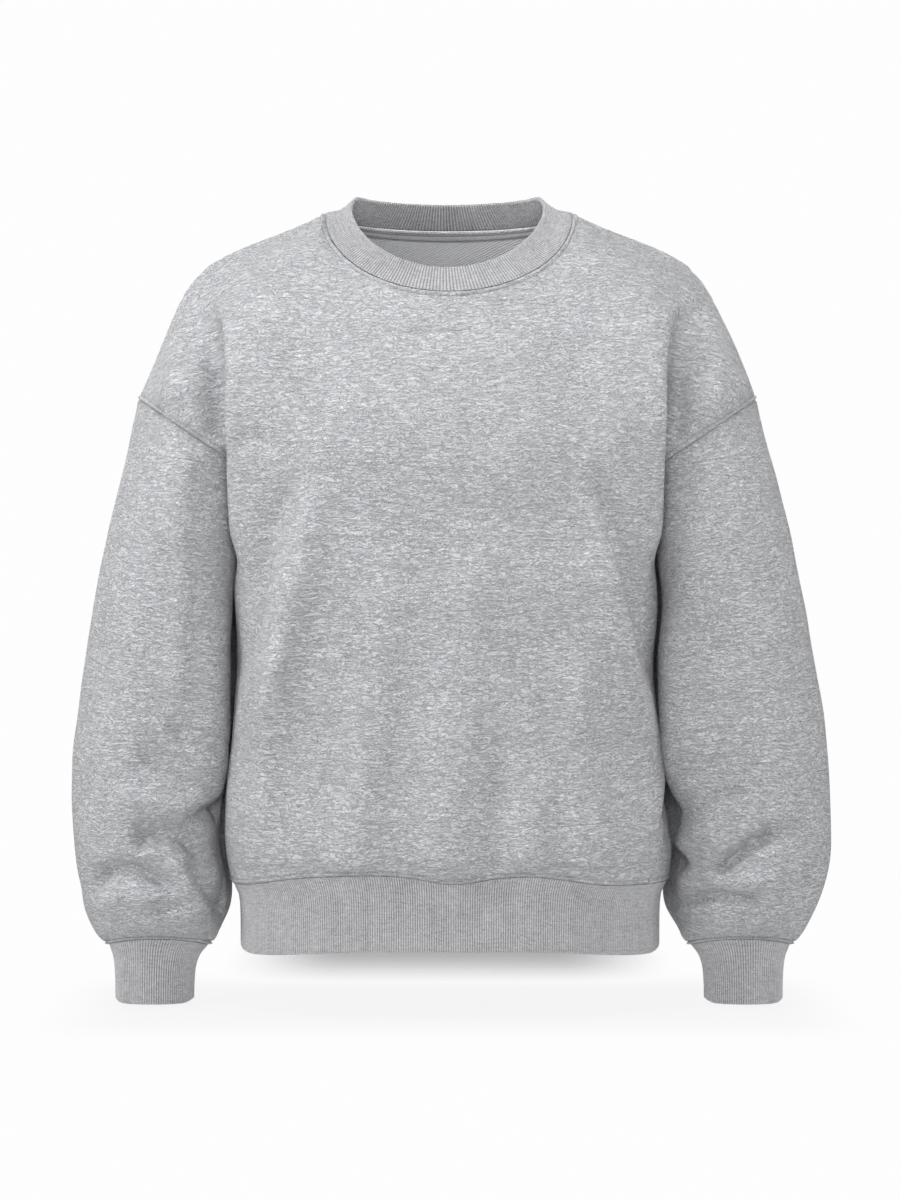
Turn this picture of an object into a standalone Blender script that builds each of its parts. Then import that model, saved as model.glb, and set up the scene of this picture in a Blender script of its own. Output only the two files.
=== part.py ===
"""A crewneck sweatshirt with dropped shoulders, filled out as if worn, made from its cut and sewn pieces.

Front, back, two sleeves, neckband, hem band, two cuffs and the back neck tape are each one closed wall
of cloth. Every size is in millimetres and MM turns it into metres. X runs to the wearer's left, Y to the
back and Z up, from the base of the neck midway between the high points of the shoulders.
"""

from typing import NamedTuple

import bmesh
import bpy
import numpy as np

MM = 0.001
SIDES = {"right": -1, "left": 1}  # the wearer's
PANELS = ("front", "back")

# Cloth
WALL = 2.0  # brushed fleece
RIB_WALL = 2.0  # double rib, under its raised ribs
RIB_HEIGHT = 0.8
TAPE_WALL = 1.0
TAPE_WIDTH = 8.0
TAPE_FROM_SEAM = 1.5
SEAM_GAP = 0.3
BODY_RIB_PITCH = 1.95
NECK_RIB_PITCH = 2.25
HEATHER_GREY = (0.50, 0.505, 0.52)
RIB_GREY = (0.36, 0.36, 0.375)


def table(names, rows):
    """A table as one array for each named column."""
    return dict(zip(names.split(), np.array(rows, float).T))


# Neck seam and the free edge of the neckband, as rings round the neck
RING_SIZES = "half_width front back front_height side_height back_height"
NECK_SEAM = dict(zip(RING_SIZES.split(), (105, 101, 75, -74.5, 0, -8.5)))
COLLAR_EDGE = dict(zip(RING_SIZES.split(), (80, 84, 66, -53.5, 13.6, 13.6)))
NECK_LEAN = 0.45  # how far the neckband's outside faces up at the centre front
NECK_SIDE_LEAN = 0.44  # and how much more at the sides

# Armhole loop: an ellipse from the shoulder tip to the underarm
SHOULDER_TIP = (263.5, -159.0)  # x, z
UNDERARM = (158.0, -229.0)  # x, z
ARMHOLE_DEPTH = {"front": 84.0, "back": 82.0}
TIP_TURN = {"right": 18.0, "left": 2.0}  # degrees that the shoulder seam sits forward of the tip
TIP_NORMAL = (0.93, 0.0, 0.37)

# Hem band and cuffs
HEM_SEAM_HEIGHT = -558.0
HEM_EDGE = {"width": 176.2, "front": 116.0, "back": 107.0, "square": 2.4, "height": -617.5}
CUFF_EDGE_HEIGHT = -670.0

# The lines that run up a panel, counted from its centre, and their angles below the arm
LINES = ("centre", "mid", "chest", "fold", "valley", "arm", "edge")
LINE_ANGLES = (0.0, 28.0, 47.0, 62.5, 71.0, 81.0, 90.0)
NECK_LINE = LINES.index("chest")
LAST_LINE = LINES.index("edge")

# Rings of the body from the hem up. tuck draws the side in under the arm.
BODY = table(
    "height width front back square tuck",
    [
        (-560, 185.0, 121, 112, 2.5, 0.0),
        (-545, 187.5, 127, 117, 2.6, 0.0),
        (-507, 184.5, 128, 118, 2.7, 0.0),
        (-451, 175.5, 127, 115, 2.9, 0.0),
        (-400, 177.0, 128, 112, 3.1, 0.0),
        (-345, 179.0, 130, 111, 3.3, 2.0),
        (-305, 179.5, 132, 111, 3.4, 6.5),
    ],
)
TUCK_REACH = 45.0  # how far to the front and the back the tuck is felt
# Where each side seam lies on those rings, in degrees from the centre front
SIDE_SEAM = table("height right left", [(-560, 96, 67), (-507, 95, 74), (-451, 92, 86), (-400, 90, 90)])
# How far the body swings sideways
SWAY = table("height shift", [(-560, 0.8), (-507, -0.9), (-430, -3), (-230, -2.4), (-100, -1)])
SWAY_SHARES = (1, 1, 1, 1, 0.6, 0)  # how much of that each line takes above the underarm

# Above the rings the lines run on to the shoulder, through points (x, y, z). The first are below the
# underarm, and ARM_SHARES says how far up the armhole the others lie.
ARM_SHARES = (0.0, 0.25, 0.5, 0.75, 0.88)
FRONT_LINES = {
    "centre": [
        (0, -133, -276), (0, -134, -228), (0, -131, -186),
        (0, -125, -148), (0, -114, -110), (0, -107, -91),
    ],
    "mid": [
        (70, -130, -276), (70, -131, -229), (69, -129, -188),
        (68, -122, -151), (67, -111, -112), (70, -95, -83),
    ],
    "chest": [
        (127, -117, -276), (130, -119, -231), (129, -118, -195),
        (126, -113, -158), (120, -101, -112), (113, -67, -51),
    ],
    "fold": [
        (177, -84, -277), (178, -92, -235), (179, -96, -206),
        (181, -98, -166), (185, -87, -113), (194, -52, -75),
    ],
    "valley": [
        (173, -52, -278), (171, -61, -236), (171, -75, -214),
        (178, -79, -175), (191, -72, -122), (207, -46, -84),
    ],
    "arm": [
        (166, -24, -278), (159.5, -30, -234), (171, -67, -217),
        (194, -85, -184), (224, -81, -143), (239, -50, -124),
    ],
}  # fmt: skip
BACK_LINES = {
    "centre": [
        (0, 111, -276), (0, 113, -228), (0, 113, -182),
        (0, 110, -142), (0, 102, -92), (0, 90, -45),
    ],
    "mid": [
        (70, 109, -276), (70, 111, -229), (70, 111, -185),
        (70, 108, -145), (71, 101, -95), (73, 83, -44),
    ],
    "chest": [
        (126, 101, -276), (129, 103, -231), (129, 103, -192),
        (127, 99, -152), (122, 88, -98), (114, 58, -36),
    ],
    "fold": [
        (171, 77, -277), (174, 81, -235), (177, 84, -206),
        (181, 83, -163), (187, 74, -110), (195, 46, -70),
    ],
    "valley": [
        (172, 50, -278), (168, 56, -236), (171, 67, -214),
        (180, 72, -175), (193, 66, -122), (208, 42, -82),
    ],
    "arm": [
        (166, 24, -278), (158.5, 28, -234), (171, 63, -216),
        (194, 81, -184), (224, 77, -143), (239, 47, -124),
    ],
}  # fmt: skip
UPPER_LINES = {"front": FRONT_LINES, "back": BACK_LINES}
SIDE_TOP = [(166, 0, -278), (UNDERARM[0], 0, UNDERARM[1])]  # the last points of the side seam
# The shoulder seam, at the panel's lines. left_x is how much narrower the left shoulder hangs.
SHOULDER = table(
    "line x z left_x",
    [
        (2.0, 105.0, 0.0, 0.0),
        (2.4, 137.0, -14.5, 0.0),
        (2.8, 180.0, -31.5, 0.0),
        (3.0, 197.0, -40.0, -1.0),
        (3.5, 209.0, -49.0, -2.5),
        (4.0, 217.0, -57.0, -3.0),
        (4.5, 228.0, -74.0, -4.0),
        (5.0, 240.0, -102.0, -2.7),
        (6.0, 263.5, -159.0, -3.0),
    ],
)
# Rings of the sleeve from armhole to cuff: the outer and inner ends of each, its depth to the front and
# the back, how square its inner half is, how much its front rises, what the left one adds in width, how
# square its inner half is at the back, and how far its back and its front lean in against the body.
SLEEVE = table(
    "outer_x outer_z inner_x inner_z front back square rise left_outer left_inner back_square lean nestle",
    [
        (263.5, -159.0, 158.0, -229.0, 84, 82, 2.0, 0.0, -3.0, 0.0, 2.0, 0.0, 0.0),
        (269.0, -186.0, 163.0, -246.0, 86, 84, 2.1, 0.0, -2.0, 0.0, 2.3, 2.0, 0.0),
        (276.5, -218.0, 169.5, -270.0, 87, 84, 2.5, 0.0, -1.0, 0.0, 2.5, 4.0, 0.5),
        (286.0, -257.0, 176.5, -299.0, 86, 82, 3.0, 0.0, -0.3, 0.0, 2.9, 8.0, 1.5),
        (294.0, -295.0, 182.5, -328.0, 84, 80, 3.6, 0.0, 0.0, 0.0, 3.1, 12.0, 3.0),
        (301.0, -329.0, 187.0, -356.0, 82, 78, 4.6, 0.0, 0.0, 0.0, 3.6, 15.0, 6.0),
        (308.5, -378.0, 190.0, -397.0, 78, 74, 6.0, 0.0, 1.3, 0.0, 4.0, 19.0, 9.0),
        (315.5, -425.0, 190.5, -437.0, 74, 70, 6.0, 0.0, 2.0, 0.0, 4.0, 21.5, 9.0),
        (319.5, -465.0, 190.5, -473.0, 70, 66, 4.5, 0.0, 2.4, 0.0, 4.0, 21.0, 7.0),
        (320.5, -499.0, 193.0, -504.0, 67, 62, 3.2, 0.0, 3.5, 1.0, 4.0, 19.5, 4.0),
        (318.5, -533.0, 195.0, -535.0, 65, 60, 2.8, 0.0, 5.8, 3.0, 4.0, 18.0, 3.0),
        (314.5, -567.0, 189.5, -567.0, 63, 58, 2.6, 0.0, 5.0, 3.0, 3.8, 14.0, 2.0),
        (309.0, -592.0, 189.5, -592.0, 59, 54, 2.3, 0.0, 1.8, 1.5, 3.4, 12.0, 0.0),
        (302.0, -609.0, 194.5, -609.0, 52, 48, 2.1, 0.0, 1.2, 1.0, 2.8, 7.0, 0.0),
        (296.0, -618.5, 199.0, -618.5, 45, 41, 2.0, 3.0, 1.0, 0.5, 2.2, 3.0, 0.0),
        (288.5, -624.7, 205.0, -624.7, 38, 35, 2.0, 10.7, 1.0, 1.0, 2.0, 0.0, 0.0),
    ],
)
LEAN_DEPTH = 45.0  # how far behind its middle a sleeve leans in all the way
LEAN_SHORT = {"right": 7.5, "left": 2.0}  # how much less each sleeve leans in
NESTLE = {"right": 0.8, "left": 1.7}  # the share of the table's nestle that each sleeve has
# The middle and the free edge of a cuff
CUFF = table(
    "outer_x inner_x height front back",
    [(283.6, 213.4, -638.0, 32, 31), (282.4, 218.3, CUFF_EDGE_HEIGHT, 28, 27)],
)
# How far the hem seam dips at each angle from the centre front
HEM_DIP = table(
    "angle dip",
    [
        (-180, 1.0),
        (-150, 5.0),
        (-120, 1.0),
        (-90, 7.0),
        (-66, 7.0),
        (-54, 1.6),
        (-42, -1.4),
        (-12, 0.0),
        (-1, 4.0),
        (8, 3.0),
        (16, 0.0),
        (40, 1.0),
        (51, 6.0),
        (60, 7.0),
        (90, 6.0),
        (120, 1.0),
        (150, 4.0),
        (180, 1.0),
    ],
)


class Fold(NamedTuple):
    """A raised fold, or a crease where height is below zero, along a path seen from the front."""

    piece: str
    face: int  # -1 on the front of the piece, 1 on its back
    height: float
    left: float  # how wide it is on the left of its path, going along it
    right: float
    path: tuple  # of (x, z)


FOLDS = [
    # The two long folds that run from the chest out to the hem, and those of the back
    Fold("front", -1, 9, 20, 12, ((-112, -225), (-122, -270), (-142, -344), (-165, -429), (-185, -560))),
    Fold("front", -1, 9, 12, 20, ((116, -245), (126, -286), (140, -354), (163, -438), (184, -550))),
    Fold("back", 1, 7, 18, 14, ((-108, -230), (-128, -330), (-156, -440), (-170, -620))),
    Fold("back", 1, 7, 14, 18, ((112, -220), (130, -340), (152, -450), (166, -620))),
    # Soft upright folds above the hem
    Fold("front", -1, 4, 14, 14, ((-70, -380), (-75, -460), (-79, -620))),
    Fold("front", -1, 3.5, 18, 16, ((-12, -400), (-8, -480), (-6, -620))),
    Fold("front", -1, 4, 10, 12, ((52, -430), (57, -500), (60, -620))),
    Fold("front", -1, 4, 12, 12, ((96, -380), (103, -470), (108, -620))),
    Fold("back", 1, 4.5, 14, 16, ((-66, -360), (-60, -470), (-64, -620))),
    Fold("back", 1, 4, 16, 14, ((-8, -410), (4, -500), (2, -620))),
    Fold("back", 1, 4.5, 14, 14, ((70, -340), (74, -450), (66, -620))),
    # Creases round the lower right sleeve
    Fold("sleeve_right", -1, -7, 12, 6, ((-266, -546), (-249, -528), (-220, -531), (-194, -560))),
    Fold("sleeve_right", -1, -5, 11, 5, ((-312, -590), (-298, -567), (-272, -554), (-222, -580))),
    Fold("sleeve_right", -1, -4, 12, 12, ((-270, -460), (-240, -476), (-206, -494))),
    Fold("sleeve_right", 1, -5, 12, 12, ((-200, -478), (-236, -486), (-286, -476))),
    Fold("sleeve_right", 1, -6, 10, 10, ((-204, -554), (-250, -544), (-304, -554))),
    # Creases round the lower left sleeve
    Fold("sleeve_left", -1, -5, 12, 9, ((176, -518), (201, -502), (218, -496), (238, -490), (264, -487))),
    Fold("sleeve_left", -1, -7, 8, 7, ((218, -560), (238, -545), (247, -538), (262, -530), (308, -516))),
    Fold("sleeve_left", -1, -5, 8, 5, ((188, -583), (216, -580), (230, -577), (248, -579), (274, -586))),
    Fold("sleeve_left", 1, -5, 12, 12, ((200, -468), (244, -480), (290, -486))),
    Fold("sleeve_left", 1, -6, 10, 10, ((204, -562), (246, -548), (304, -542))),
]
FOLD_FADE = 0.25  # the share of a fold's length in which each end dies away
FACE_BLEND = 40.0  # how far from front to back a fold takes to fade between a piece's faces
PATH_STEPS = 24

# How each wall is divided, in counts of the tables' rows and of the panel's lines
UNDERARM_ROW = len(BODY["height"]) + 1
TOP_ROW = UNDERARM_ROW + len(ARM_SHARES)
LOWER_ROWS = (0, 0.5, 1.1, 1.8, 2.5, 3.2, 3.9, 4.6, 5.3, 6.1, 6.8, 7.4, 8)
UPPER_ROWS = (8.4, 8.8, 9.2, 9.6, 10, 10.4, 10.8, 11.3, 11.8, 12.4, 13)
PANEL_ROWS = np.array(LOWER_ROWS + UPPER_ROWS)
LINED_LOWER_ROWS = 2  # the inside of the lower body has every second row
SHOULDER_COLUMNS = np.array((2.3, 2.65, 3, 3.25, 3.6, 4, 4.5, 5.2, 6))
NECK_COLUMNS = {"front": 14, "back": 12}
SLEEVE_UPPER_ROWS = (0, 0.8, 1.7, 2.6, 3.7, 4.8, 5.9)
SLEEVE_LOWER_ROWS = (6.9, 7.6, 8.1, 8.6, 9.1, 9.5, 9.9, 10.3, 10.7, 11.1, 11.5, 12, 12.6, 13.2, 14, 15)
SLEEVE_ROWS = np.array(SLEEVE_UPPER_ROWS + SLEEVE_LOWER_ROWS)
LINED_SLEEVE_ROWS = np.array((0, 2, 4, 6, 8, 10, 12, 14, 16, 18, 20, 21, 22))


def panel_columns(neck_columns):
    neck = np.linspace(-NECK_LINE, NECK_LINE, neck_columns + 1)
    return np.concatenate([-SHOULDER_COLUMNS[::-1], neck, SHOULDER_COLUMNS])


COLUMNS = {which: panel_columns(NECK_COLUMNS[which]) for which in PANELS}


# ---------------------------------------------------------------- curves


def spline(knots, values, at):
    """The natural cubic spline through values at knots, read at the places at."""
    knots, values = np.asarray(knots, float), np.asarray(values, float)
    shape = (-1,) + (1,) * (values.ndim - 1)
    gaps = np.diff(knots)
    slopes = np.diff(values, axis=0) / gaps.reshape(shape)
    system = np.eye(len(knots))
    bends = np.zeros_like(values)
    for i in range(1, len(knots) - 1):
        system[i, i - 1 : i + 2] = gaps[i - 1], 2 * (gaps[i - 1] + gaps[i]), gaps[i]
        bends[i] = 6 * (slopes[i] - slopes[i - 1])
    bends = np.linalg.solve(system, bends)
    at = np.asarray(at, float)
    i = np.clip(np.searchsorted(knots, at, side="right") - 1, 0, len(knots) - 2)
    after = ((at - knots[i]) / gaps[i]).reshape(shape)
    before = 1 - after
    width = gaps[i].reshape(shape)
    bend = (before**3 - before) * bends[i] + (after**3 - after) * bends[i + 1]
    return before * values[i] + after * values[i + 1] + width * width / 6 * bend


def curve(points, at):
    """A smooth curve through points, read at counts of them: 1.5 lies between the second and the third."""
    points = np.asarray(points, float)
    knots = np.concatenate([[0], np.cumsum(np.linalg.norm(np.diff(points, axis=0), axis=1))])
    return spline(knots, points, np.interp(at, np.arange(len(points)), knots))


def unit(vectors):
    return vectors / np.linalg.norm(vectors, axis=-1, keepdims=True)


def smooth(value):
    """0 below 0, 1 above 1 and a soft step between."""
    value = np.clip(value, 0, 1)
    return value * value * (3 - 2 * value)


def points_of(x, y, z):
    return np.stack(np.broadcast_arrays(x, y, z), axis=-1).astype(float)


def joined(ahead, behind):
    """Once round a loop that a front and a back edge share: along the front, then home along the back."""
    return np.concatenate([ahead, behind[-2:0:-1]])


# ---------------------------------------------------------------- seam lines


class Seam(NamedTuple):
    """A seam line, read at places along it that are angles round a ring, rows or lines of a panel."""

    places: np.ndarray
    points: np.ndarray
    normals: np.ndarray  # the way that the cloth faces
    across: np.ndarray  # the way over the seam, from one piece to the other


def seam(places, points, normals, toward, closed=False):
    """A seam whose normals and across are square to its line."""
    if closed:
        along = np.roll(points, -1, axis=0) - np.roll(points, 1, axis=0)
    else:
        along = np.gradient(points, axis=0)
    across = unit(np.cross(along, normals))
    across = across * np.sign((across * toward).sum(axis=1, keepdims=True))
    square = unit(np.cross(along, across))
    square = square * np.sign((square * normals).sum(axis=1, keepdims=True))
    return Seam(places, points, square, across)


def share_of(loop, which, front_count):
    """The front or the back edge of a seam round a loop that joined made."""
    count = len(loop.places)
    if which == "front":
        keep = np.arange(front_count)
    else:
        keep = np.concatenate([[0], np.arange(count - 1, front_count - 1, -1), [front_count - 1]])
    return Seam(*(values[keep] for values in loop))


def facing_out(edge, which):
    """A seam between the front and the back, as it leaves one of them."""
    return edge if which == "front" else edge._replace(across=-edge.across)


def neck_ring(angle, half_width, front, back, front_height, side_height, back_height):
    """A ring about the neck, at angles from the centre front."""
    turn = np.radians(angle)
    ahead = np.cos(turn)
    depth = np.where(ahead > 0, front, back)
    end = np.where(ahead > 0, front_height, back_height)
    height = side_height + (end - side_height) * abs(ahead)
    return points_of(half_width * np.sin(turn), -depth * ahead, height)


def neck_normal(angle):
    turn = np.radians(angle)
    up = NECK_LEAN + NECK_SIDE_LEAN * abs(np.sin(turn))
    return unit(points_of(NECK_LEAN * np.sin(turn), -2 * NECK_LEAN * np.cos(turn), up))


def neck_seam(angles):
    points = neck_ring(angles, **NECK_SEAM)
    inward = points_of(-points[:, 0], -points[:, 1], 60)
    return seam(angles, points, neck_normal(angles), inward, closed=True)


def armhole_point(side, angle):
    """The armhole loop: 0 degrees at the outer tip, 90 at the front, 180 under the arm."""
    turn = np.radians(angle)
    tip_x = SHOULDER_TIP[0] + (SLEEVE["left_outer"][0] if side == "left" else 0)
    x = (tip_x + UNDERARM[0]) / 2 + (tip_x - UNDERARM[0]) / 2 * np.cos(turn)
    z = (SHOULDER_TIP[1] + UNDERARM[1]) / 2 + (SHOULDER_TIP[1] - UNDERARM[1]) / 2 * np.cos(turn)
    depth = np.where(np.sin(turn) > 0, ARMHOLE_DEPTH["front"], ARMHOLE_DEPTH["back"])
    return points_of(SIDES[side] * x, -depth * np.sin(turn), z)


def armhole_normal(side, angle):
    turn = np.radians(angle)
    outer, under = np.maximum(np.cos(turn), 0), np.maximum(-np.cos(turn), 0)
    x, y, z = TIP_NORMAL
    return unit(points_of(SIDES[side] * x * outer, y * outer - np.sin(turn), z * outer - under))


def armhole_seam(side, angles):
    down_the_arm = np.array((SIDES[side], 0, -0.6))
    points = armhole_point(side, angles)
    return seam(angles, points, armhole_normal(side, angles), down_the_arm, closed=True)


def shoulder_line(side, lines):
    """The shoulder seam at the lines from the neck to the tip."""
    x = spline(SHOULDER["line"], SHOULDER["x"], lines)
    z = spline(SHOULDER["line"], SHOULDER["z"], lines)
    if side == "left":
        x = x + spline(SHOULDER["line"], SHOULDER["left_x"], lines)
    share = (lines - NECK_LINE) / (LAST_LINE - NECK_LINE)
    forward = armhole_point(side, TIP_TURN[side]) - armhole_point(side, 0.0)
    return points_of(SIDES[side] * x, 0, z) + forward * share[:, None] ** 2


def shoulder_seam(side, lines):
    to_back = np.array((0, 1, 0))
    points = shoulder_line(side, lines)
    square = unit(SIDES[side] * np.cross(shoulder_line(side, lines + 0.01) - points, to_back))
    share = (lines - NECK_LINE)[:, None] / (LAST_LINE - NECK_LINE)
    at_neck = 1 - smooth(share * 5)
    at_tip = smooth(share * 5 - 4)
    normals = square * (1 - at_neck - at_tip) + neck_normal(SIDES[side] * 90.0) * at_neck
    normals = unit(normals + armhole_normal(side, TIP_TURN[side]) * at_tip)
    return seam(lines, points, normals, to_back)


def sway(height):
    return np.interp(height, SWAY["height"], SWAY["shift"])


def ring(angle, width, front, back, square, height, tuck=0.0):
    """A ring of the body at angles from the centre front. It is an ellipse where square is 2."""
    turn = np.radians(angle)
    across, ahead = np.sin(turn), np.cos(turn)
    depth = np.where(ahead > 0, front, back)
    reach = (abs(across / width) ** square + abs(ahead / depth) ** square) ** (-1 / square)
    x, y = reach * across, -reach * ahead
    x = x - np.sign(across) * tuck * np.exp(-((y / TUCK_REACH) ** 2))
    return points_of(x + sway(height), y, height)


def ring_normal(points):
    """The way that a ring faces, as an ellipse of about its size does."""
    return unit(points * (1 / 185**2, 1 / 120**2, 0))


def body_ring(height, angle):
    sizes = {name: spline(BODY["height"], BODY[name], height) for name in BODY if name != "height"}
    return ring(angle, height=height, **sizes)


def hem_points(angles):
    around = (np.asarray(angles) + 180) % 360 - 180
    dip = spline(HEM_DIP["angle"], HEM_DIP["dip"], around)
    sizes = {name: BODY[name][0] for name in ("width", "front", "back", "square")}
    return ring(angles, height=HEM_SEAM_HEIGHT, **sizes) - points_of(0, 0, dip)


def hem_seam(angles):
    points = hem_points(angles)
    return seam(angles, points, ring_normal(points), np.array((0, 0, -1)), closed=True)


def side_line(side, rows):
    """The side seam from the hem up to the underarm."""
    heights = BODY["height"]
    angles = SIDES[side] * np.interp(heights, SIDE_SEAM["height"], SIDE_SEAM[side])
    low = body_ring(heights, angles)
    low[0] = hem_points(angles[:1])[0]
    top = np.array(SIDE_TOP, float) * (SIDES[side], 1, 1)
    return curve(np.concatenate([low, top]), rows)


def side_seam(side, rows):
    points = side_line(side, rows)
    under = smooth(rows - (UNDERARM_ROW - 1))[:, None]
    normals = unit(ring_normal(points) * (1 - under) + np.array((0, 0, -1)) * under)
    return seam(rows, points, normals, np.array((0, 1, 0)))


class Seams(NamedTuple):
    """Every seam, at the points that the pieces on both sides of it have."""

    neck: Seam
    hem: Seam
    armholes: dict
    sides: dict
    shoulders: dict
    cuffs: dict


def all_seams():
    on_neck = {which: COLUMNS[which][abs(COLUMNS[which]) <= NECK_LINE] for which in PANELS}
    neck_front, neck_back = (on_neck[which] * 90 / NECK_LINE for which in PANELS)
    neck_angles = joined(neck_front, 180 - neck_back)
    hem_angles = joined(*(panel_hem_angles(which) for which in PANELS))
    lower = PANEL_ROWS[PANEL_ROWS <= UNDERARM_ROW]
    upper = PANEL_ROWS[PANEL_ROWS >= UNDERARM_ROW]
    arm_angles = {side: joined(*(armhole_angles(which, side, upper) for which in PANELS)) for side in SIDES}
    return Seams(
        neck=neck_seam(neck_angles),
        hem=hem_seam(hem_angles),
        armholes={side: armhole_seam(side, arm_angles[side]) for side in SIDES},
        sides={side: side_seam(side, lower) for side in SIDES},
        shoulders={side: shoulder_seam(side, np.append(NECK_LINE, SHOULDER_COLUMNS)) for side in SIDES},
        cuffs={side: cuff_seam(side, arm_angles[side]) for side in SIDES},
    )


# ---------------------------------------------------------------- front and back


def line_angle(which, share, side_angle):
    """The angle of a panel's line that lies this share of the way to the side seam."""
    return share * side_angle if which == "front" else 180 - share * (180 - side_angle)


def hem_angle(which, columns):
    """The angles round the hem of a panel's columns, which are below zero on the right."""
    share = np.interp(abs(columns), np.arange(len(LINES)), LINE_ANGLES) / 90
    right, left = (np.interp(HEM_SEAM_HEIGHT, SIDE_SEAM["height"], SIDE_SEAM[side]) for side in SIDES)
    angle = line_angle(which, share, np.where(columns < 0, right, left))
    return np.where(columns < 0, -angle, angle)


def panel_hem_angles(which):
    return hem_angle(which, COLUMNS[which])


def armhole_angles(which, side, rows):
    """The armhole angles of a panel's rows, from the underarm to the shoulder tip."""
    share = np.interp(rows, np.arange(UNDERARM_ROW, TOP_ROW + 1), ARM_SHARES + (1,))
    if which == "front":
        return 180 - (180 - TIP_TURN[side]) * share
    return 180 + (180 + TIP_TURN[side]) * share


def panel_side(which, side, rows):
    """The side seam and then the armhole, as one edge of the panel."""
    low = side_line(side, np.minimum(rows, UNDERARM_ROW))
    high = armhole_point(side, armhole_angles(which, side, np.maximum(rows, UNDERARM_ROW)))
    return np.where((rows > UNDERARM_ROW)[:, None], high, low)


def panel_top(which, columns):
    """The neck seam and, on each side of it, the shoulder seam."""
    angle = columns * 90 / NECK_LINE
    points = neck_ring(angle if which == "front" else 180 - angle, **NECK_SEAM)
    for side, sign in SIDES.items():
        beyond = sign * columns > NECK_LINE
        points[beyond] = shoulder_line(side, abs(columns[beyond]))
    return points


def control_line(which, side, line):
    """The control points of one line of half a panel, from the hem up."""
    top = panel_top(which, np.array([SIDES[side] * float(line)]))
    if line == LAST_LINE:
        return np.concatenate([panel_side(which, side, np.arange(TOP_ROW)), top])
    at_side = np.interp(BODY["height"], SIDE_SEAM["height"], SIDE_SEAM[side])
    angle = line_angle(which, LINE_ANGLES[line] / 90, at_side)
    low = body_ring(BODY["height"], SIDES[side] * angle)
    high = np.array(UPPER_LINES[which][LINES[line]], float) * (SIDES[side], 1, 1)
    high = high + points_of(sway(high[:, 2]) * SWAY_SHARES[line], 0, 0)
    return np.concatenate([low, high, top])


def control_net(which):
    """The control points of a panel, by row from the hem up and by line from the right to the left."""
    halves = [[control_line(which, side, line) for line in range(LAST_LINE + 1)] for side in SIDES]
    right, left = halves
    return np.stack(right[:0:-1] + left, axis=1)


def panel_surface(which, rows, columns):
    """The cloth of a panel before its folds, fitted to its seams."""
    net = control_net(which)
    rows = np.concatenate([[0.0], rows, [TOP_ROW]])
    columns = np.concatenate([[-LAST_LINE], columns, [LAST_LINE]])
    lines = np.stack([curve(line, rows) for line in net.swapaxes(0, 1)], axis=1)
    grid = np.stack([curve(row, columns + LAST_LINE) for row in lines])
    near_hem = (1 - smooth(rows / 2))[:, None, None]
    near_top = smooth(rows - (TOP_ROW - 1))[:, None, None]
    hem_gap = hem_points(hem_angle(which, columns)) - grid[0]
    top_gap = panel_top(which, columns) - grid[-1]
    grid = grid + hem_gap * near_hem + top_gap * near_top
    for side, end in (("right", 0), ("left", -1)):
        side_gap = panel_side(which, side, rows) - grid[:, end]
        near_side = smooth((SIDES[side] * columns - (LAST_LINE - 2)) / 2)
        grid = grid + side_gap[:, None] * near_side[None, :, None]
    return grid[1:-1, 1:-1]


def panel_edges(which, seams):
    """Each edge of a panel: its rows and columns, and the seam there."""
    columns = COLUMNS[which]
    lower = np.flatnonzero(PANEL_ROWS <= UNDERARM_ROW)
    upper = np.flatnonzero(PANEL_ROWS >= UNDERARM_ROW)
    edges = [
        ((0, slice(None)), share_of(seams.hem, which, len(COLUMNS["front"]))),
        ((-1, abs(columns) <= NECK_LINE), share_of(seams.neck, which, NECK_COLUMNS["front"] + 1)),
    ]
    for side, sign in SIDES.items():
        end = 0 if side == "right" else -1
        outer = np.flatnonzero(sign * columns >= NECK_LINE)[::sign]
        edges.append(((lower, end), facing_out(seams.sides[side], which)))
        edges.append(((upper, end), share_of(seams.armholes[side], which, len(upper))))
        edges.append(((-1, outer), facing_out(seams.shoulders[side], which)))
    return edges


def panel_grid(which, seams):
    """Outer points and normals of a panel, with its edges drawn back from their seams."""
    outward = 1 if which == "front" else -1
    grid = panel_surface(which, PANEL_ROWS, COLUMNS[which])
    lifted = folded(which, grid, outward * normals_of(grid))
    grid[1:-1, 1:-1] = lifted[1:-1, 1:-1]
    normals = outward * normals_of(grid)
    edges = panel_edges(which, seams)
    for place, edge in edges:
        normals[place] = edge.normals
    for place, edge in edges:
        grid[place] -= edge.across * SEAM_GAP / 2
    return grid, normals


def with_tape_rows(grid, normals):
    """The grid with a row under each edge of the neck tape, put in below its top row."""
    down = grid[-2] - grid[-1]
    reach = np.linalg.norm(down, axis=1, keepdims=True)
    for inset in (TAPE_FROM_SEAM + TAPE_WIDTH, TAPE_FROM_SEAM):
        share = inset / reach
        facing = unit(normals[-1] + (normals[-2] - normals[-1]) * np.minimum(share, 1))
        grid = np.insert(grid, -1, grid[-1] + down * share, axis=0)
        normals = np.insert(normals, -1, facing, axis=0)
    return grid, normals


def lined_rows(row_count):
    """The rows that the inside of a panel has too."""
    underarm = len(LOWER_ROWS) - 1
    return [*range(0, underarm, LINED_LOWER_ROWS), *range(underarm, row_count)]


def make_panels(seams, parent):
    for which in PANELS:
        grid, normals = panel_grid(which, seams)
        if which == "back":
            grid, normals = with_tape_rows(grid, normals)
            make_tape(grid, normals, parent)
        kept = lined_rows(len(grid))
        inner = (grid - normals * WALL)[kept]
        mesh_object(which, *panel_wall(grid, inner, kept), HEATHER_GREY, parent)


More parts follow.
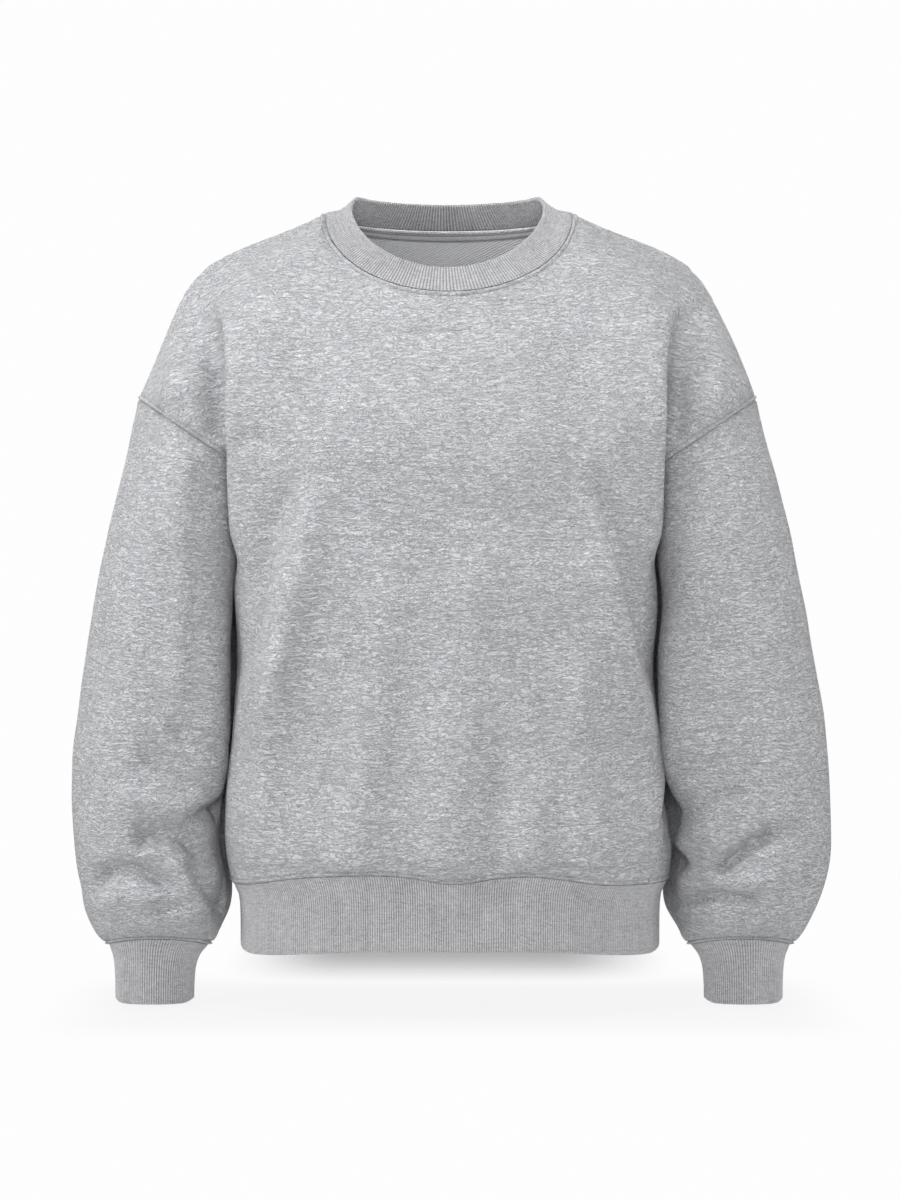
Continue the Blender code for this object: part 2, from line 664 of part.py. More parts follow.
def make_tape(back, back_normals, parent):
    """The tape inside the back, just below the neck seam, laid on the back's own points."""
    along = np.flatnonzero(abs(COLUMNS["back"]) < NECK_LINE)
    points, normals = back[-3:-1, along], back_normals[-3:-1, along]
    outer = points - normals * (WALL + SEAM_GAP)
    wall = panel_wall(outer, outer - normals * TAPE_WALL, range(2))
    mesh_object("neck_tape", *wall, RIB_GREY, parent)


# ---------------------------------------------------------------- folds


def normals_of(grid, closed=False):
    """Unit normals of a grid, to the right of its columns' way as its rows go."""
    up = np.gradient(grid, axis=0)
    if closed:
        along = np.roll(grid, -1, axis=1) - np.roll(grid, 1, axis=1)
    else:
        along = np.gradient(grid, axis=1)
    return unit(np.cross(along, up))


def path_distance(places, path):
    """How far each place lies to the left of a smooth path, and how far along it, from 0 to 1."""
    path = curve(path, np.linspace(0, len(path) - 1, PATH_STEPS))
    starts, runs = path[:-1], np.diff(path, axis=0)
    lengths = np.linalg.norm(runs, axis=1)
    offset = places[:, None] - starts
    along = np.clip((offset * runs).sum(axis=2) / lengths**2, 0, 1)
    away = offset - along[:, :, None] * runs
    distance = np.linalg.norm(away, axis=2)
    nearest = distance.argmin(axis=1)
    rows = np.arange(len(places))
    before = np.concatenate([[0], np.cumsum(lengths)[:-1]])
    share = (before[nearest] + along[rows, nearest] * lengths[nearest]) / lengths.sum()
    run, out = runs[nearest], away[rows, nearest]
    left = np.sign(run[:, 0] * out[:, 1] - run[:, 1] * out[:, 0])
    return distance[rows, nearest] * left, share


def folded(piece, grid, normals):
    """The grid with its folds raised and its creases sunk."""
    points, out = grid.reshape(-1, 3), normals.reshape(-1, 3)
    lift = np.zeros(len(points))
    for fold in FOLDS:
        if fold.piece != piece:
            continue
        distance, share = path_distance(points[:, [0, 2]], fold.path)
        width = np.where(distance > 0, fold.left, fold.right)
        facing = smooth(0.5 + fold.face * points[:, 1] / FACE_BLEND)
        ends = smooth(share / FOLD_FADE) * smooth((1 - share) / FOLD_FADE)
        lift += fold.height * np.exp(-((distance / width) ** 2)) * facing * ends
    return grid + (out * lift[:, None]).reshape(grid.shape)


# ---------------------------------------------------------------- sleeves and cuffs


def sleeve_ring(side, sizes, angles):
    """One ring of a sleeve at armhole angles."""
    turn = np.radians(angles)
    away, ahead = np.cos(turn), np.sin(turn)
    inner_square = np.where(ahead < 0, sizes["back_square"], sizes["square"])
    square = np.where(away < 0, inner_square, 2.0)
    reach = (abs(away) ** square + abs(ahead) ** square) ** (-1 / square)
    away, ahead = away * reach, ahead * reach
    outer, inner = sizes["outer_x"], sizes["inner_x"]
    if side == "left":
        outer, inner = outer + sizes["left_outer"], inner + sizes["left_inner"]
    x = (outer + inner) / 2 + (outer - inner) / 2 * away
    z = (sizes["outer_z"] + sizes["inner_z"]) / 2 + (sizes["outer_z"] - sizes["inner_z"]) / 2 * away
    y = -np.where(ahead > 0, sizes["front"], sizes["back"]) * ahead
    x = x - max(sizes["lean"] - LEAN_SHORT[side], 0) * smooth(y / LEAN_DEPTH)
    x = x - NESTLE[side] * sizes["nestle"] * smooth(-y / LEAN_DEPTH) * smooth(-2 * away)
    return points_of(SIDES[side] * x, y, z + sizes["rise"] * ((1 + ahead) / 2) ** 2)


def sleeve_rings(side, rows, angles):
    sizes = curve(np.stack(list(SLEEVE.values()), axis=1), rows)
    return np.stack([sleeve_ring(side, dict(zip(SLEEVE, row)), angles) for row in sizes])


def cuff_seam(side, angles):
    points = sleeve_rings(side, SLEEVE_ROWS[-1:], angles)[0]
    outward = unit((points - points.mean(axis=0)) * (1, 1, 0))
    return seam(angles, points, outward, np.array((0, 0, -1)), closed=True)


def make_sleeve(side, armhole, cuff, parent):
    name = f"sleeve_{side}"
    outward = -SIDES[side]
    grid = sleeve_rings(side, SLEEVE_ROWS, armhole.places)
    grid[1:-1] = folded(name, grid, outward * normals_of(grid, closed=True))[1:-1]
    normals = outward * normals_of(grid, closed=True)
    normals[0], normals[-1] = armhole.normals, cuff.normals
    grid[0] += armhole.across * SEAM_GAP / 2
    grid[-1] -= cuff.across * SEAM_GAP / 2
    inner = (grid - normals * WALL)[LINED_SLEEVE_ROWS]
    mesh_object(name, *tube_wall(grid, inner), HEATHER_GREY, parent)


def cuff_ring(side, sizes, angles):
    turn = np.radians(angles)
    middle = (sizes["outer_x"] + sizes["inner_x"]) / 2
    half = (sizes["outer_x"] - sizes["inner_x"]) / 2
    depth = np.where(np.sin(turn) > 0, sizes["front"], sizes["back"])
    return points_of(SIDES[side] * (middle + half * np.cos(turn)), -depth * np.sin(turn), sizes["height"])


def make_cuff(side, cuff, parent):
    rings = [cuff.points + cuff.across * SEAM_GAP / 2]
    for row in zip(*CUFF.values()):
        rings.append(cuff_ring(side, dict(zip(CUFF, row)), cuff.places))
    rings = np.stack(rings)
    normals = unit((rings - rings.mean(axis=1, keepdims=True)) * (1, 1, 0))
    normals[0] = cuff.normals
    mesh_object(f"cuff_{side}", *ribbed_wall(rings, normals, BODY_RIB_PITCH), RIB_GREY, parent)


# ---------------------------------------------------------------- neckband and hem band


def make_neckband(neck, parent):
    rings = np.stack([neck.points + neck.across * SEAM_GAP / 2, neck_ring(neck.places, **COLLAR_EDGE)])
    normals = np.stack([neck.normals, neck_normal(neck.places)])
    mesh_object("neck_rib", *ribbed_wall(rings, normals, NECK_RIB_PITCH), RIB_GREY, parent)


def make_hem_band(hem, parent):
    edge = ring(hem.places, **HEM_EDGE)
    rings = np.stack([hem.points + hem.across * SEAM_GAP / 2, edge])
    normals = np.stack([hem.normals, ring_normal(edge)])
    mesh_object("hem_rib", *ribbed_wall(rings, normals, BODY_RIB_PITCH), RIB_GREY, parent)


# ---------------------------------------------------------------- meshes


def grid_faces(index, closed=False):
    """The triangles of a grid of point numbers, all cut along the same diagonal."""
    here = index if closed else index[:, :-1]
    ahead = np.roll(index, -1, axis=1) if closed else index[:, 1:]
    lower = np.stack([here[:-1], ahead[:-1], ahead[1:]], axis=-1)
    upper = np.stack([here[:-1], ahead[1:], here[1:]], axis=-1)
    return np.concatenate([lower.reshape(-1, 3), upper.reshape(-1, 3)]).tolist()


def strip(outer, inner, matches):
    """Triangles between two edges, where matches gives the outer point that lies over each inner one."""
    faces = []
    for i in range(len(inner) - 1):
        middle = (matches[i] + matches[i + 1] + 1) // 2
        for j in range(matches[i], matches[i + 1]):
            faces.append([outer[j], outer[j + 1], inner[i] if j < middle else inner[i + 1]])
        faces.append([outer[middle], inner[i + 1], inner[i]])
    return faces


def flipped(faces):
    return [face[::-1] for face in faces]


def numbered(*grids):
    """The point numbers of grids whose points are listed one after the other."""
    numbers, start = [], 0
    for grid in grids:
        count = grid.shape[0] * grid.shape[1]
        numbers.append(np.arange(start, start + count).reshape(grid.shape[:2]))
        start += count
    return numbers


def all_points(*grids):
    return np.concatenate([grid.reshape(-1, 3) for grid in grids])


def panel_wall(outer, inner, kept):
    """Points and faces of an open panel. kept are the outer rows that the inside also has."""
    out, ins = numbered(outer, inner)
    every = range(outer.shape[1])
    faces = grid_faces(out) + flipped(grid_faces(ins))
    faces += flipped(strip(out[0], ins[0], every)) + strip(out[-1], ins[-1], every)
    faces += strip(out[:, 0], ins[:, 0], kept) + flipped(strip(out[:, -1], ins[:, -1], kept))
    return all_points(outer, inner), faces


def tube_wall(outer, inner, matches=None):
    """Points and faces of a tube that is closed round and open at its ends."""
    out, ins = numbered(outer, inner)
    if matches is None:
        matches = range(inner.shape[1] + 1)
    faces = grid_faces(out, closed=True) + flipped(grid_faces(ins, closed=True))
    out, ins = (np.concatenate([index, index[:, :1]], axis=1) for index in (out, ins))
    faces += flipped(strip(out[0], ins[0], matches)) + strip(out[-1], ins[-1], matches)
    return all_points(outer, inner), faces


def ribbed_wall(rings, normals, pitch):
    """A band that is closed round, with upright ribs raised on its outside and a plain inside."""
    around = np.concatenate([rings, rings[:, :1]], axis=1)
    facing = np.concatenate([normals, normals[:, :1]], axis=1)
    steps = np.linalg.norm(np.diff(around[-1], axis=0), axis=1)
    reach = np.concatenate([[0], np.cumsum(steps)])
    count = 2 * round(reach[-1] / pitch)
    place = np.interp(np.arange(count) * reach[-1] / count, reach, np.arange(len(reach)))
    before = np.floor(place).astype(int)
    share = (place - before)[None, :, None]
    outer = around[:, before] * (1 - share) + around[:, before + 1] * share
    out = facing[:, before] * (1 - share) + facing[:, before + 1] * share
    raised = RIB_HEIGHT * (np.arange(count) % 2)
    outer = outer + out * raised[None, :, None]
    return tube_wall(outer, rings - normals * RIB_WALL, np.searchsorted(place, np.arange(len(reach))))


def mesh_object(name, points, faces, colour, parent):
    mesh = bpy.data.meshes.new(name)
    mesh.from_pydata((points * MM).tolist(), [], faces)
    face_outward(mesh)
    mesh.shade_smooth()
    mesh.materials.append(cloth_material(name, colour))
    made = bpy.data.objects.new(name, mesh)
    made.parent = parent
    bpy.context.scene.collection.objects.link(made)


def face_outward(mesh):
    work = bmesh.new()
    work.from_mesh(mesh)
    bmesh.ops.recalc_face_normals(work, faces=work.faces)
    work.to_mesh(mesh)
    work.free()


def cloth_material(name, colour):
    made = bpy.data.materials.new(name)
    made.use_nodes = True
    shader = made.node_tree.nodes["Principled BSDF"]
    shader.inputs["Base Color"].default_value = (*colour, 1)
    shader.inputs["Roughness"].default_value = 0.9
    shader.inputs["Metallic"].default_value = 0.0
    return made


def main():
    for old in list(bpy.data.objects):
        bpy.data.objects.remove(old)
    parent = bpy.data.objects.new("sweatshirt", None)
    bpy.context.scene.collection.objects.link(parent)
    seams = all_seams()
    make_panels(seams, parent)
    for side in SIDES:
        make_sleeve(side, seams.armholes[side], seams.cuffs[side], parent)
        make_cuff(side, seams.cuffs[side], parent)
    make_neckband(seams.neck, parent)
    make_hem_band(seams.hem, parent)


main()
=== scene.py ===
"""A heather grey crewneck sweatshirt, dressed over its solid frame.

Each piece of cloth is made again as a fine thin shell on the surface of its solid, with its seams,
stitching, creases, ribs and knit. Sizes are in millimetres and MM turns them into metres. X runs to the
wearer's left, Y to the back and Z up, from the base of the neck.
"""

from typing import NamedTuple

import bmesh
import bpy
import numpy as np
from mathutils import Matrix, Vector
from mathutils.kdtree import KDTree


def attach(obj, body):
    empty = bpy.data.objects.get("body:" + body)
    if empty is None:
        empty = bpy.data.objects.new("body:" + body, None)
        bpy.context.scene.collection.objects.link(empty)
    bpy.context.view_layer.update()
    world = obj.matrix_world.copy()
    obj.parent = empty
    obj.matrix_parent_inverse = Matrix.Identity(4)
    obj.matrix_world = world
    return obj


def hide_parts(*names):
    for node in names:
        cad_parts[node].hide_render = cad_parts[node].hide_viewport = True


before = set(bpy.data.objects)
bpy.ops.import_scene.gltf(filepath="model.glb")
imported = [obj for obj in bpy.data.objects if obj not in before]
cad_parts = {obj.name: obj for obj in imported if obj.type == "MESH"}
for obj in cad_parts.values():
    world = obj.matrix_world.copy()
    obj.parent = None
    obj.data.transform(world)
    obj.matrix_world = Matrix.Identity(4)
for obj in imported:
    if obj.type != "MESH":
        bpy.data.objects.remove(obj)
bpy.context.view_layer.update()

MM = 0.001
SIDES = {"right": -1, "left": 1}  # the wearer's
PANELS = ("front", "back")

# Cloth
WALL = 2.0
SEAM_GAP = 0.12  # between two sewn edges
TAPE_FROM_SEAM = 1.5
TAPE_STANDS = 0.3  # clear of the cloth that it is sewn to
BODY_RIB_PITCH = 1.95
NECK_RIB_PITCH = 2.25


def table(names, rows):
    """A table as one array for each named column."""
    return dict(zip(names.split(), np.array(rows, float).T))


# Neck seam and the free edge of the neckband, as rings round the neck
RING_SIZES = "half_width front back front_height side_height back_height"
NECK_SEAM = dict(zip(RING_SIZES.split(), (105, 101, 75, -74.5, 0, -8.5)))
COLLAR_EDGE = dict(zip(RING_SIZES.split(), (80, 84, 66, -53.5, 13.6, 13.6)))
NECK_LEAN = 0.45  # how far the neckband's outside faces up at the centre front
NECK_SIDE_LEAN = 0.44  # and how much more at the sides

# Armhole loop: an ellipse from the shoulder tip to the underarm
SHOULDER_TIP = (263.5, -159.0)  # x, z
UNDERARM = (158.0, -229.0)  # x, z
ARMHOLE_DEPTH = {"front": 84.0, "back": 82.0}
TIP_TURN = {"right": 18.0, "left": 2.0}  # degrees that the shoulder seam sits forward of the tip
TIP_NORMAL = (0.93, 0.0, 0.37)
SHOULDER_ENDS = 5  # the first and the last fifth of the shoulder seam turn to face as its ends do

# Hem band and cuffs
HEM_SEAM_HEIGHT = -558.0
HEM_EDGE = {"width": 176.2, "front": 116.0, "back": 107.0, "square": 2.4, "height": -617.5}
CUFF_EDGE_HEIGHT = -670.0

# The lines that run up a panel, counted from its centre, and their angles below the arm
LINES = ("centre", "mid", "chest", "fold", "valley", "arm", "edge")
LINE_ANGLES = (0.0, 28.0, 47.0, 62.5, 71.0, 81.0, 90.0)
NECK_LINE = LINES.index("chest")
LAST_LINE = LINES.index("edge")

# Rings of the body from the hem up. tuck draws the side in under the arm.
BODY = table(
    "height width front back square tuck",
    [
        (-560, 185, 121, 112, 2.5, 0),
        (-545, 187.5, 127, 117, 2.6, 0),
        (-507, 184.5, 128, 118, 2.7, 0),
        (-451, 175.5, 127, 115, 2.9, 0),
        (-400, 177, 128, 112, 3.1, 0),
        (-345, 179, 130, 111, 3.3, 2),
        (-305, 179.5, 132, 111, 3.4, 6.5),
    ],
)
BODY_REACH = (185, 120)  # about how far it reaches to the side and to the front
TUCK_REACH = 45.0  # how far to the front and the back the tuck is felt
# Where each side seam lies on those rings, in degrees from the centre front
SIDE_SEAM = table("height right left", [(-560, 96, 67), (-507, 95, 74), (-451, 92, 86), (-400, 90, 90)])
# How far the body swings sideways
SWAY = table("height shift", [(-560, 0.8), (-507, -0.9), (-430, -3), (-230, -2.4), (-100, -1)])
SWAY_SHARES = (1, 1, 1, 1, 0.6, 0)  # how much of that each line takes above the underarm

# Above the rings the lines run on to the shoulder, through points (x, y, z). The first are below the
# underarm, and ARM_SHARES says how far up the armhole the others lie.
ARM_SHARES = (0.0, 0.25, 0.5, 0.75, 0.88)
FRONT_LINES = {
    "centre": [
        (0, -133, -276), (0, -134, -228), (0, -131, -186),
        (0, -125, -148), (0, -114, -110), (0, -107, -91),
    ],
    "mid": [
        (70, -130, -276), (70, -131, -229), (69, -129, -188),
        (68, -122, -151), (67, -111, -112), (70, -95, -83),
    ],
    "chest": [
        (127, -117, -276), (130, -119, -231), (129, -118, -195),
        (126, -113, -158), (120, -101, -112), (113, -67, -51),
    ],
    "fold": [
        (177, -84, -277), (178, -92, -235), (179, -96, -206),
        (181, -98, -166), (185, -87, -113), (194, -52, -75),
    ],
    "valley": [
        (173, -52, -278), (171, -61, -236), (171, -75, -214),
        (178, -79, -175), (191, -72, -122), (207, -46, -84),
    ],
    "arm": [
        (166, -24, -278), (159.5, -30, -234), (171, -67, -217),
        (194, -85, -184), (224, -81, -143), (239, -50, -124),
    ],
}  # fmt: skip
BACK_LINES = {
    "centre": [
        (0, 111, -276), (0, 113, -228), (0, 113, -182),
        (0, 110, -142), (0, 102, -92), (0, 90, -45),
    ],
    "mid": [
        (70, 109, -276), (70, 111, -229), (70, 111, -185),
        (70, 108, -145), (71, 101, -95), (73, 83, -44),
    ],
    "chest": [
        (126, 101, -276), (129, 103, -231), (129, 103, -192),
        (127, 99, -152), (122, 88, -98), (114, 58, -36),
    ],
    "fold": [
        (171, 77, -277), (174, 81, -235), (177, 84, -206),
        (181, 83, -163), (187, 74, -110), (195, 46, -70),
    ],
    "valley": [
        (172, 50, -278), (168, 56, -236), (171, 67, -214),
        (180, 72, -175), (193, 66, -122), (208, 42, -82),
    ],
    "arm": [
        (166, 24, -278), (158.5, 28, -234), (171, 63, -216),
        (194, 81, -184), (224, 77, -143), (239, 47, -124),
    ],
}  # fmt: skip
UPPER_LINES = {"front": FRONT_LINES, "back": BACK_LINES}
SIDE_TOP = [(166, 0, -278), (UNDERARM[0], 0, UNDERARM[1])]  # the last points of the side seam
# The shoulder seam, at the panel's lines. left_x is how much narrower the left shoulder hangs.
SHOULDER = table(
    "line x z left_x",
    [
        (2, 105, 0, 0),
        (2.4, 137, -14.5, 0),
        (2.8, 180, -31.5, 0),
        (3, 197, -40, -1),
        (3.5, 209, -49, -2.5),
        (4, 217, -57, -3),
        (4.5, 228, -74, -4),
        (5, 240, -102, -2.7),
        (6, 263.5, -159, -3),
    ],
)
# Rings of the sleeve from armhole to cuff: the outer and inner ends of each, its depth to the front and
# the back, how square its inner half is, how much its front rises, what the left one adds in width, how
# square its inner half is at the back, and how far its back and its front lean in against the body.
SLEEVE = table(
    "outer_x outer_z inner_x inner_z front back square rise left_outer left_inner back_square lean nestle",
    [
        (263.5, -159, 158, -229, 84, 82, 2, 0, -3, 0, 2, 0, 0),
        (269, -186, 163, -246, 86, 84, 2.1, 0, -2, 0, 2.3, 2, 0),
        (276.5, -218, 169.5, -270, 87, 84, 2.5, 0, -1, 0, 2.5, 4, 0.5),
        (286, -257, 176.5, -299, 86, 82, 3, 0, -0.3, 0, 2.9, 8, 1.5),
        (294, -295, 182.5, -328, 84, 80, 3.6, 0, 0, 0, 3.1, 12, 3),
        (301, -329, 187, -356, 82, 78, 4.6, 0, 0, 0, 3.6, 15, 6),
        (308.5, -378, 190, -397, 78, 74, 6, 0, 1.3, 0, 4, 19, 9),
        (315.5, -425, 190.5, -437, 74, 70, 6, 0, 2, 0, 4, 21.5, 9),
        (319.5, -465, 190.5, -473, 70, 66, 4.5, 0, 2.4, 0, 4, 21, 7),
        (320.5, -499, 193, -504, 67, 62, 3.2, 0, 3.5, 1, 4, 19.5, 4),
        (318.5, -533, 195, -535, 65, 60, 2.8, 0, 5.8, 3, 4, 18, 3),
        (314.5, -567, 189.5, -567, 63, 58, 2.6, 0, 5, 3, 3.8, 14, 2),
        (309, -592, 189.5, -592, 59, 54, 2.3, 1.5, 1.8, 1.5, 3.4, 12, 0),
        (302, -609, 194.5, -609, 52, 48, 2.1, 5.5, 1.2, 1, 2.8, 7, 0),
        (296, -618.5, 199, -618.5, 45, 41, 2, 9, 1, 0.5, 2.2, 3, 0),
        (288.5, -624.7, 205, -624.7, 38, 35, 2, 10.7, 1, 1, 2, 0, 0),
    ],
)
ELLIPSE = 2.0  # how square the outer half of a sleeve is
LEAN_DEPTH = 45.0  # how far behind its middle a sleeve leans in all the way
LEAN_SHORT = {"right": 7.5, "left": 2.0}  # how much less each sleeve leans in
NESTLE = {"right": 0.8, "left": 1.7}  # the share of the table's nestle that each sleeve has
CUFF_EDGE = {"outer_x": 282.4, "inner_x": 218.3, "front": 28, "back": 27}  # the free edge of a cuff
# How far the hem seam dips at each angle from the centre front
HEM_DIP = table(
    "angle dip",
    [
        (-180, 1), (-150, 5), (-120, 1), (-90, 7), (-66, 7), (-54, 1.6), (-42, -1.4), (-12, 0),
        (-1, 4), (8, 3), (16, 0), (40, 1), (51, 6), (60, 7), (90, 6), (120, 1), (150, 4), (180, 1),
    ],
)  # fmt: skip


# Folds of the cloth, for each piece and for its front (-1) or its back (1). Each is a height, or a depth
# below zero, its widths on the left and the right of its path, and then the path: points (x, z) as seen
# from the front. These folds are in the solids too.
FOLDS = {
    ("front", -1): [
        # The two long folds that run from the chest out to the hem
        (9, 20, 12, (-112, -225), (-122, -270), (-142, -344), (-165, -429), (-185, -560)),
        (9, 12, 20, (116, -245), (126, -286), (140, -354), (163, -438), (184, -550)),
        # Soft upright folds above the hem
        (4, 14, 14, (-70, -380), (-75, -460), (-79, -620)),
        (3.5, 18, 16, (-12, -400), (-8, -480), (-6, -620)),
        (4, 10, 12, (52, -430), (57, -500), (60, -620)),
        (4, 12, 12, (96, -380), (103, -470), (108, -620)),
    ],
    ("back", 1): [
        (7, 18, 14, (-108, -230), (-128, -330), (-156, -440), (-170, -620)),
        (7, 14, 18, (112, -220), (130, -340), (152, -450), (166, -620)),
        (4.5, 14, 16, (-66, -360), (-60, -470), (-64, -620)),
        (4, 16, 14, (-8, -410), (4, -500), (2, -620)),
        (4.5, 14, 14, (70, -340), (74, -450), (66, -620)),
    ],
    ("sleeve_right", -1): [
        # Creases over the cuff
        (-7, 12, 6, (-266, -546), (-249, -528), (-220, -531), (-194, -560)),
        (-5, 11, 5, (-312, -590), (-298, -567), (-272, -554), (-222, -580)),
        (-4, 12, 12, (-270, -460), (-240, -476), (-206, -494)),
    ],
    ("sleeve_right", 1): [
        (-5, 12, 12, (-200, -478), (-236, -486), (-286, -476)),
        (-6, 10, 10, (-204, -554), (-250, -544), (-304, -554)),
    ],
    ("sleeve_left", -1): [
        # Creases over the cuff
        (-5, 12, 9, (176, -518), (201, -502), (218, -496), (238, -490), (264, -487)),
        (-7, 8, 7, (218, -560), (238, -545), (247, -538), (262, -530), (308, -516)),
        (-5, 8, 5, (188, -583), (216, -580), (230, -577), (248, -579), (274, -586)),
    ],
    ("sleeve_left", 1): [
        (-5, 12, 12, (200, -468), (244, -480), (290, -486)),
        (-6, 10, 10, (204, -562), (246, -548), (304, -542)),
    ],
}
FOLD_FADE = 0.25  # the share of a fold's length in which each end dies away
FACE_BLEND = 40.0  # how far from front to back a fold takes to fade between a piece's faces
PATH_STEPS = 40  # to each fold

UNDERARM_ROW = len(BODY["height"]) + 1
TOP_ROW = UNDERARM_ROW + len(ARM_SHARES)
CUFF_ROW = len(SLEEVE["front"]) - 1

# Finer folds, which are only in the cloth
FINE_FOLDS = {
    ("front", -1): [
        # The chest stands out over the line below it
        (5, 60, 34, (-128, -218), (-90, -202), (-49, -195), (9, -201), (50, -209), (104, -216)),
        # The long fold on each side of the front: its ridge, and the groove along its outside
        (8, 11, 11, (-106, -218), (-113, -271), (-119, -312), (-133, -375), (-147, -470)),
        (9, 12, 13, (-121, -335), (-133, -375), (-141, -420), (-149, -470), (-155, -560)),
        (-7, 6, 13, (-120, -218), (-144, -271), (-153, -312), (-161, -354), (-168, -410)),
        (4, 10, 12, (112, -230), (122, -271), (133, -312), (144, -354), (154, -410)),
        (-9, 13, 6, (114, -214), (133, -271), (143, -312), (154, -354), (163, -415)),
        # Upright folds between them
        (6, 17, 19, (-50, -290), (-57, -395), (-60, -436), (-65, -477), (-72, -515), (-73, -575)),
        (8.5, 19, 27, (22, -250), (19, -354), (16, -395), (13, -436), (9, -480), (2, -575)),
        (-4, 9, 11, (43, -430), (40, -480), (38, -520), (36, -570)),
        (5.5, 10, 10, (72, -460), (71, -510), (68, -575)),
        (6, 12, 13, (108, -360), (110, -436), (118, -480), (124, -570)),
        # The edge where the chest folds over each dropped shoulder, and the valley beside it
        (3, 10, 4, (-200, -68), (-187, -100), (-182, -160), (-179, -218), (-176, -300)),
        (3, 4, 10, (198, -68), (184, -102), (177, -170), (174, -218), (172, -290)),
        (-6, 6, 11, (-206, -76), (-196, -100), (-191, -160), (-189, -226)),
        (-9, 11, 6, (204, -76), (193, -102), (186, -160), (185, -226)),
        # The rounds of the upper arms
        (1.5, 10, 10, (-224, -78), (-228, -120), (-232, -175)),
        (2, 8, 8, (217, -74), (221, -120), (224, -175)),
    ],
    ("sleeve_right", -1): [
        (5, 11, 13, (-219, -160), (-221, -240), (-224, -370), (-232, -450)),
        # The right sleeve: along its creases, and the bulges between them
        (-8, 12, 7, (-264, -539), (-247, -526), (-221, -528), (-204, -546)),
        (-8, 13, 7, (-219, -540), (-207, -562), (-197, -580), (-184, -603)),
        (4, 8, 12, (-238, -545), (-222, -560), (-211, -578), (-198, -600)),
        (-10, 8, 4.5, (-308, -582), (-288, -558), (-262, -556), (-224, -580)),
        (-5.5, 6, 4, (-258, -586), (-238, -587), (-222, -584), (-204, -580)),
        (-5, 9, 8, (-238, -432), (-219, -443), (-203, -450), (-180, -458)),
        (-7, 8, 4.5, (-226, -515), (-208, -513), (-190, -504), (-174, -497)),
        (-4, 12, 6, (-268, -450), (-240, -466), (-212, -482), (-184, -492)),
        (-6, 9, 9, (-212, -512), (-190, -510), (-150, -508)),
        (5.5, 12, 14, (-285, -492), (-249, -498), (-208, -512)),
        (6, 9, 9, (-300, -592), (-270, -576), (-234, -590)),
    ],
    ("sleeve_right", 1): [
        (-4, 8, 5, (-204, -554), (-250, -544), (-304, -554)),
    ],
    ("sleeve_left", -1): [
        # The left sleeve, in the same way
        (-10, 8, 4.5, (214, -561), (238, -545), (247, -538), (259, -531), (284, -520)),
        (-8, 7, 4.5, (184, -584), (203, -580), (230, -577), (243, -579), (268, -586)),
        (-10, 8, 8, (140, -541), (170, -545), (204, -553)),
        (7, 10, 9, (190, -540), (208, -530), (228, -522)),
        (6, 8, 8, (220, -574), (250, -566), (282, -558)),
        (-5, 8, 10, (178, -470), (205, -468), (236, -476)),
    ],
    ("sleeve_left", 1): [
        (-4, 8, 5, (204, -562), (246, -548), (304, -542)),
    ],
}
FOLD_EDGE = 13.0  # a fold dies away over this distance as it nears a seam


# ---- curves


def spline(knots, values, at):
    """The natural cubic spline through values at knots, read at the places at."""
    knots, values = np.asarray(knots, float), np.asarray(values, float)
    shape = (-1,) + (1,) * (values.ndim - 1)
    gaps = np.diff(knots)
    slopes = np.diff(values, axis=0) / gaps.reshape(shape)
    system = np.eye(len(knots))
    bends = np.zeros_like(values)
    for i in range(1, len(knots) - 1):
        system[i, i - 1 : i + 2] = gaps[i - 1], 2 * (gaps[i - 1] + gaps[i]), gaps[i]
        bends[i] = 6 * (slopes[i] - slopes[i - 1])
    bends = np.linalg.solve(system, bends)
    at = np.asarray(at, float)
    i = np.clip(np.searchsorted(knots, at, side="right") - 1, 0, len(knots) - 2)
    after = ((at - knots[i]) / gaps[i]).reshape(shape)
    before = 1 - after
    width = gaps[i].reshape(shape)
    bend = (before**3 - before) * bends[i] + (after**3 - after) * bends[i + 1]
    return before * values[i] + after * values[i + 1] + width * width / 6 * bend


def reach_of(grid, axis):
    """Arc length along one axis of a grid."""
    steps = np.linalg.norm(np.diff(grid, axis=axis), axis=-1)
    return np.insert(np.cumsum(steps, axis=axis), 0, 0, axis=axis)


def curve(points, at):
    """A smooth curve through points, read at counts of them: 1.5 lies between the second and the third."""
    points = np.asarray(points, float)
    knots = reach_of(points, 0)
    return spline(knots, points, np.interp(at, np.arange(len(points)), knots))


def unit(vectors):
    return vectors / np.linalg.norm(vectors, axis=-1, keepdims=True)


def smooth(value):
    """0 below 0, 1 above 1 and a soft step between."""
    value = np.clip(value, 0, 1)
    return value * value * (3 - 2 * value)


def sideways(points):
    """The level way out of a ring at each of its points."""
    return unit((points - points.mean(axis=0)) * (1, 1, 0))


def between(inner, outer, share):
    """From inner where share is -1 to outer where it is 1."""
    return (outer + inner) / 2 + (outer - inner) / 2 * share


def points_of(x, y, z):
    return np.stack(np.broadcast_arrays(x, y, z), axis=-1).astype(float)


# ---- seam lines


class Seam(NamedTuple):
    """A seam line, and the way that the cloth faces along it."""

    points: np.ndarray
    normals: np.ndarray


def seam(points, normals, closed=False):
    """A seam whose normals are square to its line."""
    if closed:
        along = np.roll(points, -1, axis=0) - np.roll(points, 1, axis=0)
    else:
        along = np.gradient(points, axis=0)
    across = unit(np.cross(along, normals))
    square = unit(np.cross(along, across))
    return Seam(points, square * np.sign((square * normals).sum(axis=1, keepdims=True)))


def neck_ring(angle, half_width, front, back, front_height, side_height, back_height):
    """A ring about the neck, at angles from the centre front."""
    turn = np.radians(angle)
    ahead = np.cos(turn)
    depth = np.where(ahead > 0, front, back)
    end = np.where(ahead > 0, front_height, back_height)
    height = side_height + (end - side_height) * abs(ahead)
    return points_of(half_width * np.sin(turn), -depth * ahead, height)


